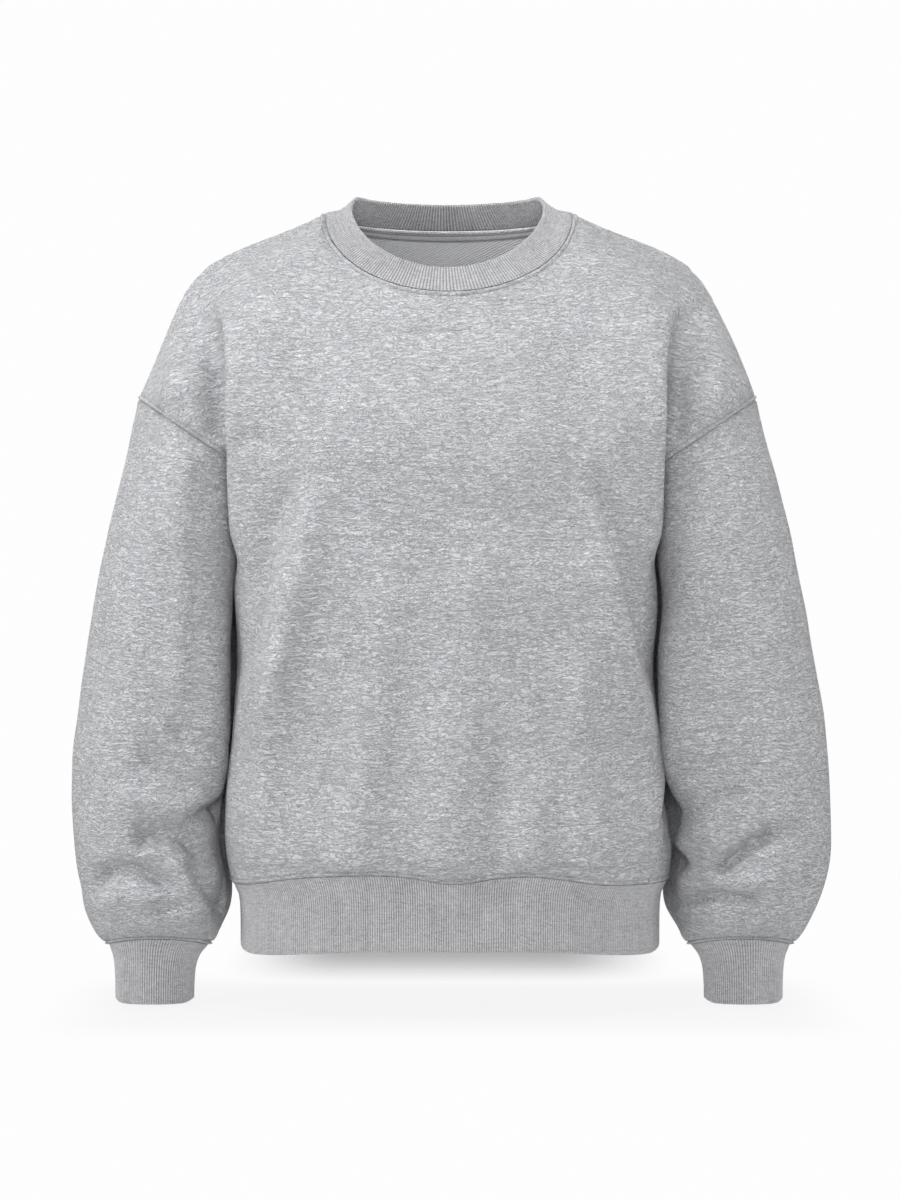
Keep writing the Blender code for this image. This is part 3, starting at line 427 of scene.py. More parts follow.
def neck_normal(angle):
    turn = np.radians(angle)
    up = NECK_LEAN + NECK_SIDE_LEAN * abs(np.sin(turn))
    return unit(points_of(NECK_LEAN * np.sin(turn), -2 * NECK_LEAN * np.cos(turn), up))


def neck_seam(angles):
    return seam(neck_ring(angles, **NECK_SEAM), neck_normal(angles), closed=True)


def armhole_point(side, angle):
    """The armhole loop: 0 degrees at the outer tip, 90 at the front, 180 under the arm."""
    turn = np.radians(angle)
    tip_x = SHOULDER_TIP[0] + (SLEEVE["left_outer"][0] if side == "left" else 0)
    x = between(UNDERARM[0], tip_x, np.cos(turn))
    z = between(UNDERARM[1], SHOULDER_TIP[1], np.cos(turn))
    depth = np.where(np.sin(turn) > 0, ARMHOLE_DEPTH["front"], ARMHOLE_DEPTH["back"])
    return points_of(SIDES[side] * x, -depth * np.sin(turn), z)


def armhole_normal(side, angle):
    turn = np.radians(angle)
    outer, under = np.maximum(np.cos(turn), 0), np.maximum(-np.cos(turn), 0)
    x, y, z = TIP_NORMAL
    return unit(points_of(SIDES[side] * x * outer, y * outer - np.sin(turn), z * outer - under))


def armhole_seam(side, angles):
    return seam(armhole_point(side, angles), armhole_normal(side, angles), closed=True)


def shoulder_line(side, lines):
    """The shoulder seam at the lines from the neck to the tip."""
    x = spline(SHOULDER["line"], SHOULDER["x"], lines)
    z = spline(SHOULDER["line"], SHOULDER["z"], lines)
    if side == "left":
        x = x + spline(SHOULDER["line"], SHOULDER["left_x"], lines)
    share = (lines - NECK_LINE) / (LAST_LINE - NECK_LINE)
    forward = armhole_point(side, TIP_TURN[side]) - armhole_point(side, 0.0)
    return points_of(SIDES[side] * x, 0, z) + forward * share[:, None] ** 2


def shoulder_seam(side, lines):
    points = shoulder_line(side, lines)
    square = unit(SIDES[side] * np.cross(shoulder_line(side, lines + 0.01) - points, (0, 1, 0)))
    share = (lines - NECK_LINE)[:, None] / (LAST_LINE - NECK_LINE)
    at_neck = 1 - smooth(share * SHOULDER_ENDS)
    at_tip = smooth(share * SHOULDER_ENDS - (SHOULDER_ENDS - 1))
    normals = square * (1 - at_neck - at_tip) + neck_normal(SIDES[side] * 90.0) * at_neck
    normals = unit(normals + armhole_normal(side, TIP_TURN[side]) * at_tip)
    return seam(points, normals)


def sway(height):
    return np.interp(height, SWAY["height"], SWAY["shift"])


def ring(angle, width, front, back, square, height, tuck=0.0):
    """A ring of the body at angles from the centre front. It is an ellipse where square is 2."""
    turn = np.radians(angle)
    across, ahead = np.sin(turn), np.cos(turn)
    depth = np.where(ahead > 0, front, back)
    reach = (abs(across / width) ** square + abs(ahead / depth) ** square) ** (-1 / square)
    x, y = reach * across, -reach * ahead
    x = x - np.sign(across) * tuck * np.exp(-((y / TUCK_REACH) ** 2))
    return points_of(x + sway(height), y, height)


def ring_normal(points):
    """The way that a ring faces, as an ellipse of about its size does."""
    return unit(points * (1 / BODY_REACH[0] ** 2, 1 / BODY_REACH[1] ** 2, 0))


def body_ring(height, angle):
    sizes = {name: spline(BODY["height"], BODY[name], height) for name in BODY if name != "height"}
    return ring(angle, height=height, **sizes)


def hem_points(angles):
    around = (np.asarray(angles) + 180) % 360 - 180
    dip = spline(HEM_DIP["angle"], HEM_DIP["dip"], around)
    sizes = {name: BODY[name][0] for name in ("width", "front", "back", "square")}
    return ring(angles, height=HEM_SEAM_HEIGHT, **sizes) - points_of(0, 0, dip)


def hem_seam(angles):
    points = hem_points(angles)
    return seam(points, ring_normal(points), closed=True)


def side_line(side, rows):
    """The side seam from the hem up to the underarm."""
    heights = BODY["height"]
    angles = SIDES[side] * np.interp(heights, SIDE_SEAM["height"], SIDE_SEAM[side])
    low = body_ring(heights, angles)
    low[0] = hem_points(angles[:1])[0]
    top = np.array(SIDE_TOP, float) * (SIDES[side], 1, 1)
    return curve(np.concatenate([low, top]), rows)


def side_seam(side, rows):
    points = side_line(side, rows)
    under = smooth(rows - (UNDERARM_ROW - 1))[:, None]
    normals = unit(ring_normal(points) * (1 - under) + np.array((0, 0, -1)) * under)
    return seam(points, normals)


# ---- front and back


def line_angle(which, share, side_angle):
    """The angle of a panel's line that lies this share of the way to the side seam."""
    return share * side_angle if which == "front" else 180 - share * (180 - side_angle)


def hem_angle(which, columns):
    """The angles round the hem of a panel's columns, which are below zero on the right."""
    share = np.interp(abs(columns), np.arange(len(LINES)), LINE_ANGLES) / 90
    right, left = (np.interp(HEM_SEAM_HEIGHT, SIDE_SEAM["height"], SIDE_SEAM[side]) for side in SIDES)
    angle = line_angle(which, share, np.where(columns < 0, right, left))
    return np.where(columns < 0, -angle, angle)


def armhole_angles(which, side, rows):
    """The armhole angles of a panel's rows, from the underarm to the shoulder tip."""
    share = np.interp(rows, np.arange(UNDERARM_ROW, TOP_ROW + 1), ARM_SHARES + (1,))
    if which == "front":
        return 180 - (180 - TIP_TURN[side]) * share
    return 180 + (180 + TIP_TURN[side]) * share


def panel_side(which, side, rows):
    """The side seam and then the armhole, as one edge of the panel."""
    low = side_line(side, np.minimum(rows, UNDERARM_ROW))
    high = armhole_point(side, armhole_angles(which, side, np.maximum(rows, UNDERARM_ROW)))
    return np.where((rows > UNDERARM_ROW)[:, None], high, low)


def panel_top(which, columns):
    """The neck seam and, on each side of it, the shoulder seam."""
    angle = columns * 90 / NECK_LINE
    points = neck_ring(angle if which == "front" else 180 - angle, **NECK_SEAM)
    for side, sign in SIDES.items():
        beyond = sign * columns > NECK_LINE
        points[beyond] = shoulder_line(side, abs(columns[beyond]))
    return points


def control_line(which, side, line):
    """The control points of one line of half a panel, from the hem up."""
    top = panel_top(which, np.array([SIDES[side] * float(line)]))
    if line == LAST_LINE:
        return np.concatenate([panel_side(which, side, np.arange(TOP_ROW)), top])
    at_side = np.interp(BODY["height"], SIDE_SEAM["height"], SIDE_SEAM[side])
    angle = line_angle(which, LINE_ANGLES[line] / 90, at_side)
    low = body_ring(BODY["height"], SIDES[side] * angle)
    high = np.array(UPPER_LINES[which][LINES[line]], float) * (SIDES[side], 1, 1)
    high = high + points_of(sway(high[:, 2]) * SWAY_SHARES[line], 0, 0)
    return np.concatenate([low, high, top])


def control_net(which):
    """The control points of a panel, by row from the hem up and by line from the right to the left."""
    halves = [[control_line(which, side, line) for line in range(LAST_LINE + 1)] for side in SIDES]
    right, left = halves
    return np.stack(right[:0:-1] + left, axis=1)


FITTED = 2  # over how many rows or lines a panel is drawn to its hem and its sides


def panel_surface(which, rows, columns):
    """The cloth of a panel before its folds, fitted to its seams."""
    net = control_net(which)
    rows = np.concatenate([[0.0], rows, [TOP_ROW]])
    columns = np.concatenate([[-LAST_LINE], columns, [LAST_LINE]])
    lines = np.stack([curve(line, rows) for line in net.swapaxes(0, 1)], axis=1)
    grid = np.stack([curve(row, columns + LAST_LINE) for row in lines])
    near_hem = (1 - smooth(rows / FITTED))[:, None, None]
    near_top = smooth(rows - (TOP_ROW - 1))[:, None, None]
    hem_gap = hem_points(hem_angle(which, columns)) - grid[0]
    top_gap = panel_top(which, columns) - grid[-1]
    grid = grid + hem_gap * near_hem + top_gap * near_top
    for side, end in (("right", 0), ("left", -1)):
        side_gap = panel_side(which, side, rows) - grid[:, end]
        near_side = smooth((SIDES[side] * columns - (LAST_LINE - FITTED)) / FITTED)
        grid = grid + side_gap[:, None] * near_side[None, :, None]
    return grid[1:-1, 1:-1]


def normals_of(grid):
    """Unit normals of a grid: its columns' way crossed with its rows'."""
    return unit(np.cross(np.gradient(grid, axis=1), np.gradient(grid, axis=0)))


def path_distance(places, path):
    """How far each place lies to the left of a smooth path, and how far along it, from 0 to 1."""
    path = curve(path, np.linspace(0, len(path) - 1, PATH_STEPS))
    starts, runs = path[:-1], np.diff(path, axis=0)
    lengths = np.linalg.norm(runs, axis=1)
    offset = places[:, None] - starts
    along = np.clip((offset * runs).sum(axis=2) / lengths**2, 0, 1)
    away = offset - along[:, :, None] * runs
    distance = np.linalg.norm(away, axis=2)
    nearest = distance.argmin(axis=1)
    rows = np.arange(len(places))
    before = np.concatenate([[0], np.cumsum(lengths)[:-1]])
    share = (before[nearest] + along[rows, nearest] * lengths[nearest]) / lengths.sum()
    run, out = runs[nearest], away[rows, nearest]
    left = np.sign(run[:, 0] * out[:, 1] - run[:, 1] * out[:, 0])
    return distance[rows, nearest] * left, share


# ---- sleeves and cuffs


def sleeve_ring(side, sizes, angles):
    """One ring of a sleeve at armhole angles."""
    turn = np.radians(angles)
    away, ahead = np.cos(turn), np.sin(turn)
    inner_square = np.where(ahead < 0, sizes["back_square"], sizes["square"])
    square = np.where(away < 0, inner_square, ELLIPSE)
    reach = (abs(away) ** square + abs(ahead) ** square) ** (-1 / square)
    away, ahead = away * reach, ahead * reach
    outer, inner = sizes["outer_x"], sizes["inner_x"]
    if side == "left":
        outer, inner = outer + sizes["left_outer"], inner + sizes["left_inner"]
    x = between(inner, outer, away)
    z = between(sizes["inner_z"], sizes["outer_z"], away)
    y = -np.where(ahead > 0, sizes["front"], sizes["back"]) * ahead
    x = x - max(sizes["lean"] - LEAN_SHORT[side], 0) * smooth(y / LEAN_DEPTH)
    x = x - NESTLE[side] * sizes["nestle"] * smooth(-y / LEAN_DEPTH) * smooth(-2 * away)
    return points_of(SIDES[side] * x, y, z + sizes["rise"] * ((1 + ahead) / 2) ** 2)


def sleeve_rings(side, rows, angles):
    sizes = curve(np.stack(list(SLEEVE.values()), axis=1), rows)
    return np.stack([sleeve_ring(side, dict(zip(SLEEVE, row)), angles) for row in sizes])


def cuff_seam(side, angles):
    points = sleeve_rings(side, np.array([CUFF_ROW]), angles)[0]
    return seam(points, sideways(points), closed=True)


def cuff_edge(side, angles):
    turn = np.radians(angles)
    x = between(CUFF_EDGE["inner_x"], CUFF_EDGE["outer_x"], np.cos(turn))
    depth = np.where(np.sin(turn) > 0, CUFF_EDGE["front"], CUFF_EDGE["back"])
    return points_of(SIDES[side] * x, -depth * np.sin(turn), CUFF_EDGE_HEIGHT)


def strip(outer, inner, matches):
    """Triangles between two edges, where matches gives the outer point that lies over each inner one."""
    faces = []
    for i in range(len(inner) - 1):
        middle = (matches[i] + matches[i + 1] + 1) // 2
        for j in range(matches[i], matches[i + 1]):
            faces.append([outer[j], outer[j + 1], inner[i] if j < middle else inner[i + 1]])
        faces.append([outer[middle], inner[i + 1], inner[i]])
    return faces


def flipped(faces):
    return [face[::-1] for face in faces]


def numbers(grid, start=0):
    """The numbers of a grid's points, counted from start."""
    return np.arange(start, start + grid.shape[0] * grid.shape[1]).reshape(grid.shape[:2])


# ---- cloth spread over the surfaces

DENSE_ROWS = 30  # points to each row of the tables, before the cloth is spread evenly
DENSE_LINES = 40
SLEEVE_DENSE_ROWS = 26
FLAT_ROWS, FLAT_COLUMNS = 13, 12  # the cloth is laid flat on every so many of those
FLAT_STEPS = 80
LEAST_PULL = 0.05  # the least weight of a triangle's side, which one across from a blunt corner has
# The points of a cut piece between its breaks, apart from those near its seams
PANEL_ROWS, PANEL_COLUMNS = (136, 88), (92, 104, 92)
SLEEVE_ROWS, SLEEVE_COLUMNS = (232,), (250,)
# How far from a sewn edge its nearest rows of points lie
EDGE_ROWS = np.array((SEAM_GAP / 2, 0.6, 1.2, 1.9, 2.7, 3.5, 4.2, 4.9, 5.8, 7.2))
LINED = 3  # the inside of the cloth has every third row and column
SEAM_REACH = 30.0  # how far from a seam its distance is measured
SEAM_BLEND = 14.0  # how far from a seam the cloth starts to turn to face as it does


def grid_quads(index, closed=False):
    here = index if closed else index[:, :-1]
    ahead = np.roll(index, -1, axis=1) if closed else index[:, 1:]
    return np.stack([here[:-1], ahead[:-1], ahead[1:], here[1:]], axis=-1).reshape(-1, 4)


def laid_flat(grid):
    """The grid laid flat as cloth is, its lengths kept as nearly as they can be."""
    quads = grid_quads(numbers(grid))
    triangles = np.concatenate([quads[:, [0, 1, 2]], quads[:, [0, 2, 3]]])
    corners = grid.reshape(-1, 3)[triangles]
    first, second = corners[:, 1] - corners[:, 0], corners[:, 2] - corners[:, 0]
    length = np.linalg.norm(first, axis=1)
    apex = (first * second).sum(axis=1) + 1j * np.linalg.norm(np.cross(first, second), axis=1)
    shape = np.stack([0 * length, length, apex / length], axis=1)
    sides = np.roll(shape, -1, axis=1) - shape
    facing = np.roll(shape, -2, axis=1)
    angle = (shape - facing) * np.conj(np.roll(shape, -1, axis=1) - facing)
    weight = np.maximum(angle.real / abs(angle.imag), LEAST_PULL)
    start, end = triangles, np.roll(triangles, -1, axis=1)
    system = np.zeros((grid.shape[0] * grid.shape[1],) * 2)
    for one, other, sign in ((start, start, 1), (end, end, 1), (start, end, -1), (end, start, -1)):
        np.add.at(system, (one, other), sign * weight)
    system[0, 0] += 1
    inverse = np.linalg.inv(system)
    middle = grid.shape[1] // 2
    across = reach_of(grid, 1)
    place = ((across - across[:, [middle]]) + 1j * reach_of(grid, 0)).reshape(-1)
    for _ in range(FLAT_STEPS):
        turn = (weight * (place[end] - place[start]) * np.conj(sides)).sum(axis=1)
        pull = weight * sides * (turn / abs(turn))[:, None]
        target = np.zeros(len(place), complex)
        np.add.at(target, end, pull)
        np.add.at(target, start, -pull)
        place = inverse @ target
    place = place.reshape(grid.shape[:2])
    upright = place[-1, middle] - place[0, middle]
    place = (place - place[0, middle]) * 1j * np.conj(upright) / abs(upright)
    return np.stack([place.real, place.imag], axis=-1)


def with_flat(dense):
    """A dense grid's points, each with its place on the flat cloth."""
    flat = laid_flat(dense[::FLAT_ROWS, ::FLAT_COLUMNS])
    for every in (FLAT_ROWS, FLAT_COLUMNS):
        knots = np.arange(flat.shape[0]) * every
        fine = spline(knots, flat.reshape(len(knots), -1), np.arange(knots[-1] + 1))
        flat = fine.reshape(-1, *flat.shape[1:]).swapaxes(0, 1)
    return np.concatenate([dense, flat], axis=-1)


def marks(length, count, at_start, at_end):
    """Distances along a line: close together at its sewn ends and even between them."""
    low = EDGE_ROWS if at_start else np.zeros(1)
    high = length - EDGE_ROWS[::-1] if at_end else np.array([length])
    return np.concatenate([low, np.linspace(low[-1], high[0], count + 2)[1:-1], high])


def read_line(line, reach, at):
    """The points of a line, each with all its values, at distances along it."""
    return np.stack([np.interp(at, reach, values) for values in line.T], axis=-1)


def spread(lines, breaks, counts):
    """Lines along the first axis read at new points, evenly between breaks and close at both ends."""
    parts = []
    last = len(counts) - 1
    for part, count in enumerate(counts):
        stretch = lines[breaks[part] : breaks[part + 1] + 1]
        reach = reach_of(stretch[..., :3], 0)
        columns = []
        for n in range(lines.shape[1]):
            at = marks(reach[-1, n], count, part == 0, part == last)
            columns.append(read_line(stretch[:, n], reach[:, n], at))
        grid = np.stack(columns, axis=1)
        parts.append(grid if part == last else grid[:-1])
    return np.concatenate(parts)


class Cut(NamedTuple):
    """A cut piece of fleece, as a fine grid."""

    name: str
    points: np.ndarray
    flat: np.ndarray
    outward: int


def spread_cut(name, dense, outward, rows, columns):
    """rows and columns are each (breaks, counts)."""
    grid = spread(with_flat(dense), *rows)
    grid = spread(grid.swapaxes(0, 1), *columns).swapaxes(0, 1)
    return Cut(name, grid[..., :3], grid[..., 3:], outward)


def cut_panel(which):
    rows = np.linspace(0, TOP_ROW, TOP_ROW * DENSE_ROWS + 1)
    columns = np.linspace(-LAST_LINE, LAST_LINE, 2 * LAST_LINE * DENSE_LINES + 1)
    row_breaks = [0, UNDERARM_ROW * DENSE_ROWS, TOP_ROW * DENSE_ROWS]
    at_neck = (LAST_LINE - NECK_LINE) * DENSE_LINES
    column_breaks = [0, at_neck, len(columns) - 1 - at_neck, len(columns) - 1]
    dense = panel_surface(which, rows, columns)
    outward = 1 if which == "front" else -1
    return spread_cut(which, dense, outward, (row_breaks, PANEL_ROWS), (column_breaks, PANEL_COLUMNS))


def cut_sleeve(side):
    rows = np.linspace(0, CUFF_ROW, CUFF_ROW * SLEEVE_DENSE_ROWS + 1)
    angles = np.linspace(-180, 180, 2 * LAST_LINE * DENSE_LINES + 1)
    dense = sleeve_rings(side, rows, angles)
    rows, columns = ([0, len(rows) - 1], SLEEVE_ROWS), ([0, len(angles) - 1], SLEEVE_COLUMNS)
    return spread_cut(f"sleeve_{side}", dense, SIDES[side], rows, columns)


# ---- seams in the cloth

# The shape of the cloth beside a seam: the edge turns in, and the allowance under it puffs it up as far
# as the line of stitches that holds it down
TOPSTITCHED = table(
    "away height",
    [
        (0, -1.5), (0.6, -0.3), (1.2, 0.65), (2, 1.15), (2.8, 1.05), (3.5, 0.35),
        (4.2, -0.6), (4.9, -0.3), (5.8, 0.15), (7.5, 0.2), (12, 0),
    ],
)  # fmt: skip
PLAIN = table("away height", [(0, -1.1), (0.6, -0.45), (1.2, -0.1), (2.5, 0.2), (4.5, 0.15), (8, 0)])
STITCH_LINE = 4.2  # from the seam to its topstitching
STITCH_PITCH = 3.0


class Sewn(NamedTuple):
    """A seam as the cloth on one side of it sees it."""

    line: Seam
    topstitched: bool
    puffed: float = 1.0  # how many times as high the cloth puffs up


def measured(points, line):
    """How far each point lies from a line of points, and which of those is the nearest."""
    near = (points > line.min(axis=0) - SEAM_REACH) & (points < line.max(axis=0) + SEAM_REACH)
    tree = KDTree(len(line))
    for number, place in enumerate(line):
        tree.insert(place, number)
    tree.balance()
    distance = np.full(len(points), SEAM_REACH)
    nearest = np.zeros(len(points), int)
    for number in np.flatnonzero(near.all(axis=1)):
        _, nearest[number], distance[number] = tree.find(points[number])
    return distance, nearest


def sines(place, waves):
    """A smooth uneven line: the sum of sines of (length, height, phase)."""
    return sum(height * np.sin(2 * np.pi * place / length + phase) for length, height, phase in waves)


# Waves along a seam, as (length, height, phase): how its puffing varies, and its puckers
UNEVEN = ((23.0, 0.12, 0.0), (37.0, 0.14, 1.0), (61.0, 0.12, 2.3), (9.0, 0.06, 0.7))
PUCKERS = ((8.3, 0.11, 0.4), (11.9, 0.1, 1.9), (17.0, 0.1, 0.2))
PUCKER_START, PUCKER_REACH = 2.0, 9.0  # from the seam: where they are full and how far they are felt


class Beside(NamedTuple):
    """What the seams round a piece do to each of its points."""

    away: np.ndarray  # from the nearest seam
    facing: np.ndarray  # how that seam faces
    relief: np.ndarray
    stitches: np.ndarray  # along the nearest topstitched seam and away from it


def beside_seams(points, seams):
    away = np.full(len(points), SEAM_REACH)
    facing = np.zeros((len(points), 3))
    relief = np.zeros(len(points))
    stitches = np.stack([np.zeros(len(points)), np.full(len(points), SEAM_REACH)], axis=1)
    for line, topstitched, puffed in seams:
        distance, nearest = measured(points, line.points)
        along = reach_of(line.points, 0)[nearest]
        shape = TOPSTITCHED if topstitched else PLAIN
        height = np.interp(distance, shape["away"], shape["height"], right=0.0)
        height = height * puffed * (1 + sines(along, UNEVEN))
        near = np.exp(-((distance / PUCKER_REACH) ** 2)) * smooth(distance / PUCKER_START)
        height = height + sines(along, PUCKERS) * near
        relief = np.where(abs(height) > abs(relief), height, relief)
        closer = distance < away
        away = np.where(closer, distance, away)
        facing[closer] = line.normals[nearest[closer]]
        if topstitched:
            closer = distance < stitches[:, 1]
            stitches[closer] = np.stack([along, distance], axis=1)[closer]
    return Beside(away, facing, relief, stitches)


# ---- folds

# The slow waves of the cloth between its folds
WAVES = 22
WAVE_LENGTHS = (34.0, 105.0)
WAVE_HEIGHT = 0.08


def undulation(flat, seed):
    """A slow unevenness of the cloth, as (u, v) waves with nothing left to chance."""
    chance = np.random.default_rng(seed)
    total = np.zeros(flat.shape[:-1])
    for _ in range(WAVES):
        length = chance.uniform(*WAVE_LENGTHS)
        turn, phase = chance.uniform(0, 2 * np.pi, 2)
        along = flat[..., 0] * np.cos(turn) + flat[..., 1] * np.sin(turn)
        total += WAVE_HEIGHT * length / WAVE_LENGTHS[1] * 2 * np.sin(2 * np.pi * along / length + phase)
    return total


def lift_of(piece, points):
    """How high the folds of a piece raise each of its points."""
    lift = np.zeros(len(points))
    for (name, face), folds in [*FOLDS.items(), *FINE_FOLDS.items()]:
        if name != piece:
            continue
        facing = smooth(0.5 + face * points[:, 1] / FACE_BLEND)
        for height, left, right, *path in folds:
            distance, share = path_distance(points[:, [0, 2]], path)
            width = np.where(distance > 0, left, right)
            ends = smooth(share / FOLD_FADE) * smooth((1 - share) / FOLD_FADE)
            lift += height * np.exp(-((distance / width) ** 2)) * facing * ends
    return lift


def dress(cut, seams, materials, seed):
    """A cut piece of fleece as an object: folded, sewn, and a wall thick."""
    shape = cut.points.shape
    points = cut.points.reshape(-1, 3)
    beside = beside_seams(points, seams)
    inland = smooth(beside.away / FOLD_EDGE)
    lift = (lift_of(cut.name, points) + undulation(cut.flat, seed).reshape(-1)) * inland
    spare = lift - lowest(lift.reshape(shape[:2])).reshape(-1)
    upward = cut.outward * normals_of(cut.points).reshape(-1, 3)
    points = points + upward * lift[:, None]
    normals = cut.outward * normals_of(points.reshape(shape)).reshape(-1, 3)
    turned = 1 - smooth(beside.away / SEAM_BLEND)[:, None]
    normals = unit(normals * (1 - turned) + beside.facing * turned)
    inner = (points - upward * spare[:, None] - normals * WALL).reshape(shape)
    outer = (points + normals * beside.relief[:, None]).reshape(shape)
    rows, columns = (lined(count) for count in shape[:2])
    inner = inner[np.ix_(rows, columns)]
    flat = np.concatenate([cut.flat.reshape(-1, 2), cut.flat[np.ix_(rows, columns)].reshape(-1, 2)])
    plain = np.full((inner.shape[0] * inner.shape[1], 2), SEAM_REACH)
    stitches = np.concatenate([beside.stitches, plain])
    made = piece(f"{cut.name}_cloth", *wall(outer, inner, rows, columns), materials)
    paint(made, "cloth", flat * MM)
    paint(made, "sewn", stitches * MM)
    return made


def lowest(lift):
    """The lowest lift about each point, which keeps the coarser inside of the wall under its outside."""
    rows, columns = lift.shape
    spread_out = np.pad(lift, LINED, mode="edge")
    low = lift
    for i in range(2 * LINED + 1):
        for j in range(2 * LINED + 1):
            low = np.minimum(low, spread_out[i : i + rows, j : j + columns])
    return low


def lined(count):
    """The rows or columns that the inside of a wall has too."""
    return np.unique(np.append(np.arange(0, count, LINED), count - 1))


# ---- meshes


def wall(outer, inner, rows, columns):
    """Points, faces and face materials of an open wall with a coarser inside."""
    out = numbers(outer)
    ins = numbers(inner, out.size)
    outside = grid_quads(out).tolist()
    inside = grid_quads(ins)[:, ::-1].tolist()
    edges = flipped(strip(out[0], ins[0], columns)) + strip(out[-1], ins[-1], columns)
    edges += strip(out[:, 0], ins[:, 0], rows) + flipped(strip(out[:, -1], ins[:, -1], rows))
    kinds = [0] * len(outside) + [1] * (len(inside) + len(edges))
    points = np.concatenate([outer.reshape(-1, 3), inner.reshape(-1, 3)])
    return points, outside + inside + edges, kinds


def piece(name, points, faces, kinds, materials):
    mesh = bpy.data.meshes.new(name)
    mesh.from_pydata((points * MM).tolist(), [], faces)
    for material in materials:
        mesh.materials.append(material)
    mesh.polygons.foreach_set("material_index", kinds)
    work = bmesh.new()
    work.from_mesh(mesh)
    bmesh.ops.recalc_face_normals(work, faces=work.faces)
    work.to_mesh(mesh)
    work.free()
    mesh.shade_smooth()
    return add_object(name, mesh)


def add_object(name, data):
    made = bpy.data.objects.new(name, data)
    bpy.context.scene.collection.objects.link(made)
    return made


def whole_numbers(items, what):
    """A whole number that each item of a mesh holds."""
    values = np.empty(len(items), np.int32)
    items.foreach_get(what, values)
    return values


def paint(made, layer, places, corners=None):
    """Gives each corner of a mesh's faces its place on a flat map: that of its point, or as corners say."""
    if corners is None:
        corners = whole_numbers(made.data.loops, "vertex_index")
    layer = made.data.uv_layers.new(name=layer)
    layer.data.foreach_set("uv", places[corners].astype(np.float32).ravel())


# ---- ribbed bands

PER_RIB = 6  # points to each rib
RING_POINTS = 1440  # of a seam that goes right round
AROUND = np.linspace(-180, 180, RING_POINTS, endpoint=False)
ROLL_STEPS = 8  # round the folded edge of a band
BAND_NEAR = 6  # how many of the rows of points near a seam a band has
INSIDE_EVERY = 3  # the inside of a band has every third row of its outside
RIB_WANDER = ((47.0, 0.125, 0.0), (19.0, 0.075, 1.0))  # how the ribs stray sideways
RIB_UNEVEN = ((13.0, 0.15, 0.3), (29.0, 0.15, 2.0), (71.0, 0.1, 1.0))  # and how their heights vary
RIB_ROUND = 0.55  # makes the tops of the ribs broader than the furrows
SEWN_THICKNESS = 0.6  # the share of its thickness that a band has at its seam
SEWN_REACH = 3.5  # how far that is felt
ROLLED_RIBS = 0.3  # the share of their height that the ribs have on the folded edge


class Band(NamedTuple):
    """A ribbed band, folded double, from its seam to its folded edge."""

    pitch: float
    rib: float  # how high its ribs stand
    half: float  # half its thickness
    pull: float  # the share of its width in which it draws in from the seam
    crown: float  # how far its middle stands out at the sides
    corner: float  # how far its edge lifts at the sides
    corner_turn: float  # over how many degrees
    rows: int


NECK_BAND = Band(NECK_RIB_PITCH, 0.8, 1.2, 5.0, -1.6, 0.0, 1.0, 16)
HEM_BAND = Band(BODY_RIB_PITCH, 0.7, 1.0, 0.13, 0.0, 5.0, 9.0, 7)
CUFF_BAND = Band(BODY_RIB_PITCH, 0.7, 1.0, 0.2, 0.0, 3.0, 20.0, 20)
HEM_SIDE_DROP = 8.0  # how much lower the hem's edge hangs at its sides than at its middle
HEM_DROP_LATE, HEM_DROP_STEEP = 4, 3  # how near them it drops, and how steeply
COLLAR_WIDE, COLLAR_WIDE_TURN = 1.9, 30.0  # how far the collar stands out at its sides, over what angle
COLLAR_ASIDE = -1.2  # how far its edge lies to the wearer's left
# How much its edge rises at each angle from the centre front
COLLAR_RISE = table(
    "around rise",
    [
        (0, 0), (30, 0), (50, -1), (64, -2.5), (77, -4.5), (90, -7), (100, -1.5), (109, 2.3),
        (120, 2.2), (135, 1.4), (150, 0.9), (165, 0.4), (180, 0),
    ],
)  # fmt: skip


def collar_edge(around):
    """The fold of the collar, which dips at the sides and stands up just behind them."""
    wide = COLLAR_WIDE * np.exp(-(((abs(around) - 90) / COLLAR_WIDE_TURN) ** 2))
    rise = spline(COLLAR_RISE["around"], COLLAR_RISE["rise"], abs(around))
    aside = np.sign(around) * wide + COLLAR_ASIDE
    return neck_ring(around, **COLLAR_EDGE) + points_of(aside, 0, rise)


def hem_edge(around):
    """The fold of the hem band."""
    edge = ring(around, **HEM_EDGE)
    aside = (edge[:, 0] / HEM_EDGE["width"]) ** HEM_DROP_LATE
    return edge - points_of(0, 0, HEM_SIDE_DROP * (1 - np.exp(-aside * HEM_DROP_STEEP)))


def cornered(edge, seam, band):
    """The folded edge of a band, lifted toward the seam at the sides so that its corners are round."""
    away = abs(sideways(edge))
    turn = np.degrees(np.arctan2(away[:, 0], away[:, 1]))
    lift = band.corner * np.exp(-(((90 - turn) / band.corner_turn) ** 2))
    return edge + unit(seam - edge) * lift[:, None]


def drawn_in(share, pull):
    return (1 - np.exp(-share / pull)) / (1 - np.exp(-1 / pull))


def band_section(band, width):
    """Rows round a band's section: how far down it each lies, and its turn from outside to inside."""
    near = EDGE_ROWS[:BAND_NEAR]
    down = np.concatenate([near, np.linspace(near[-1], width - band.half, band.rows)[1:]])
    back = down[::-INSIDE_EVERY]
    roll = np.linspace(0, np.pi, ROLL_STEPS + 2)[1:-1]
    shares = np.concatenate([down, np.full(ROLL_STEPS, down[-1]), back]) / width
    return shares, np.concatenate([0 * down, roll, 0 * back + np.pi])


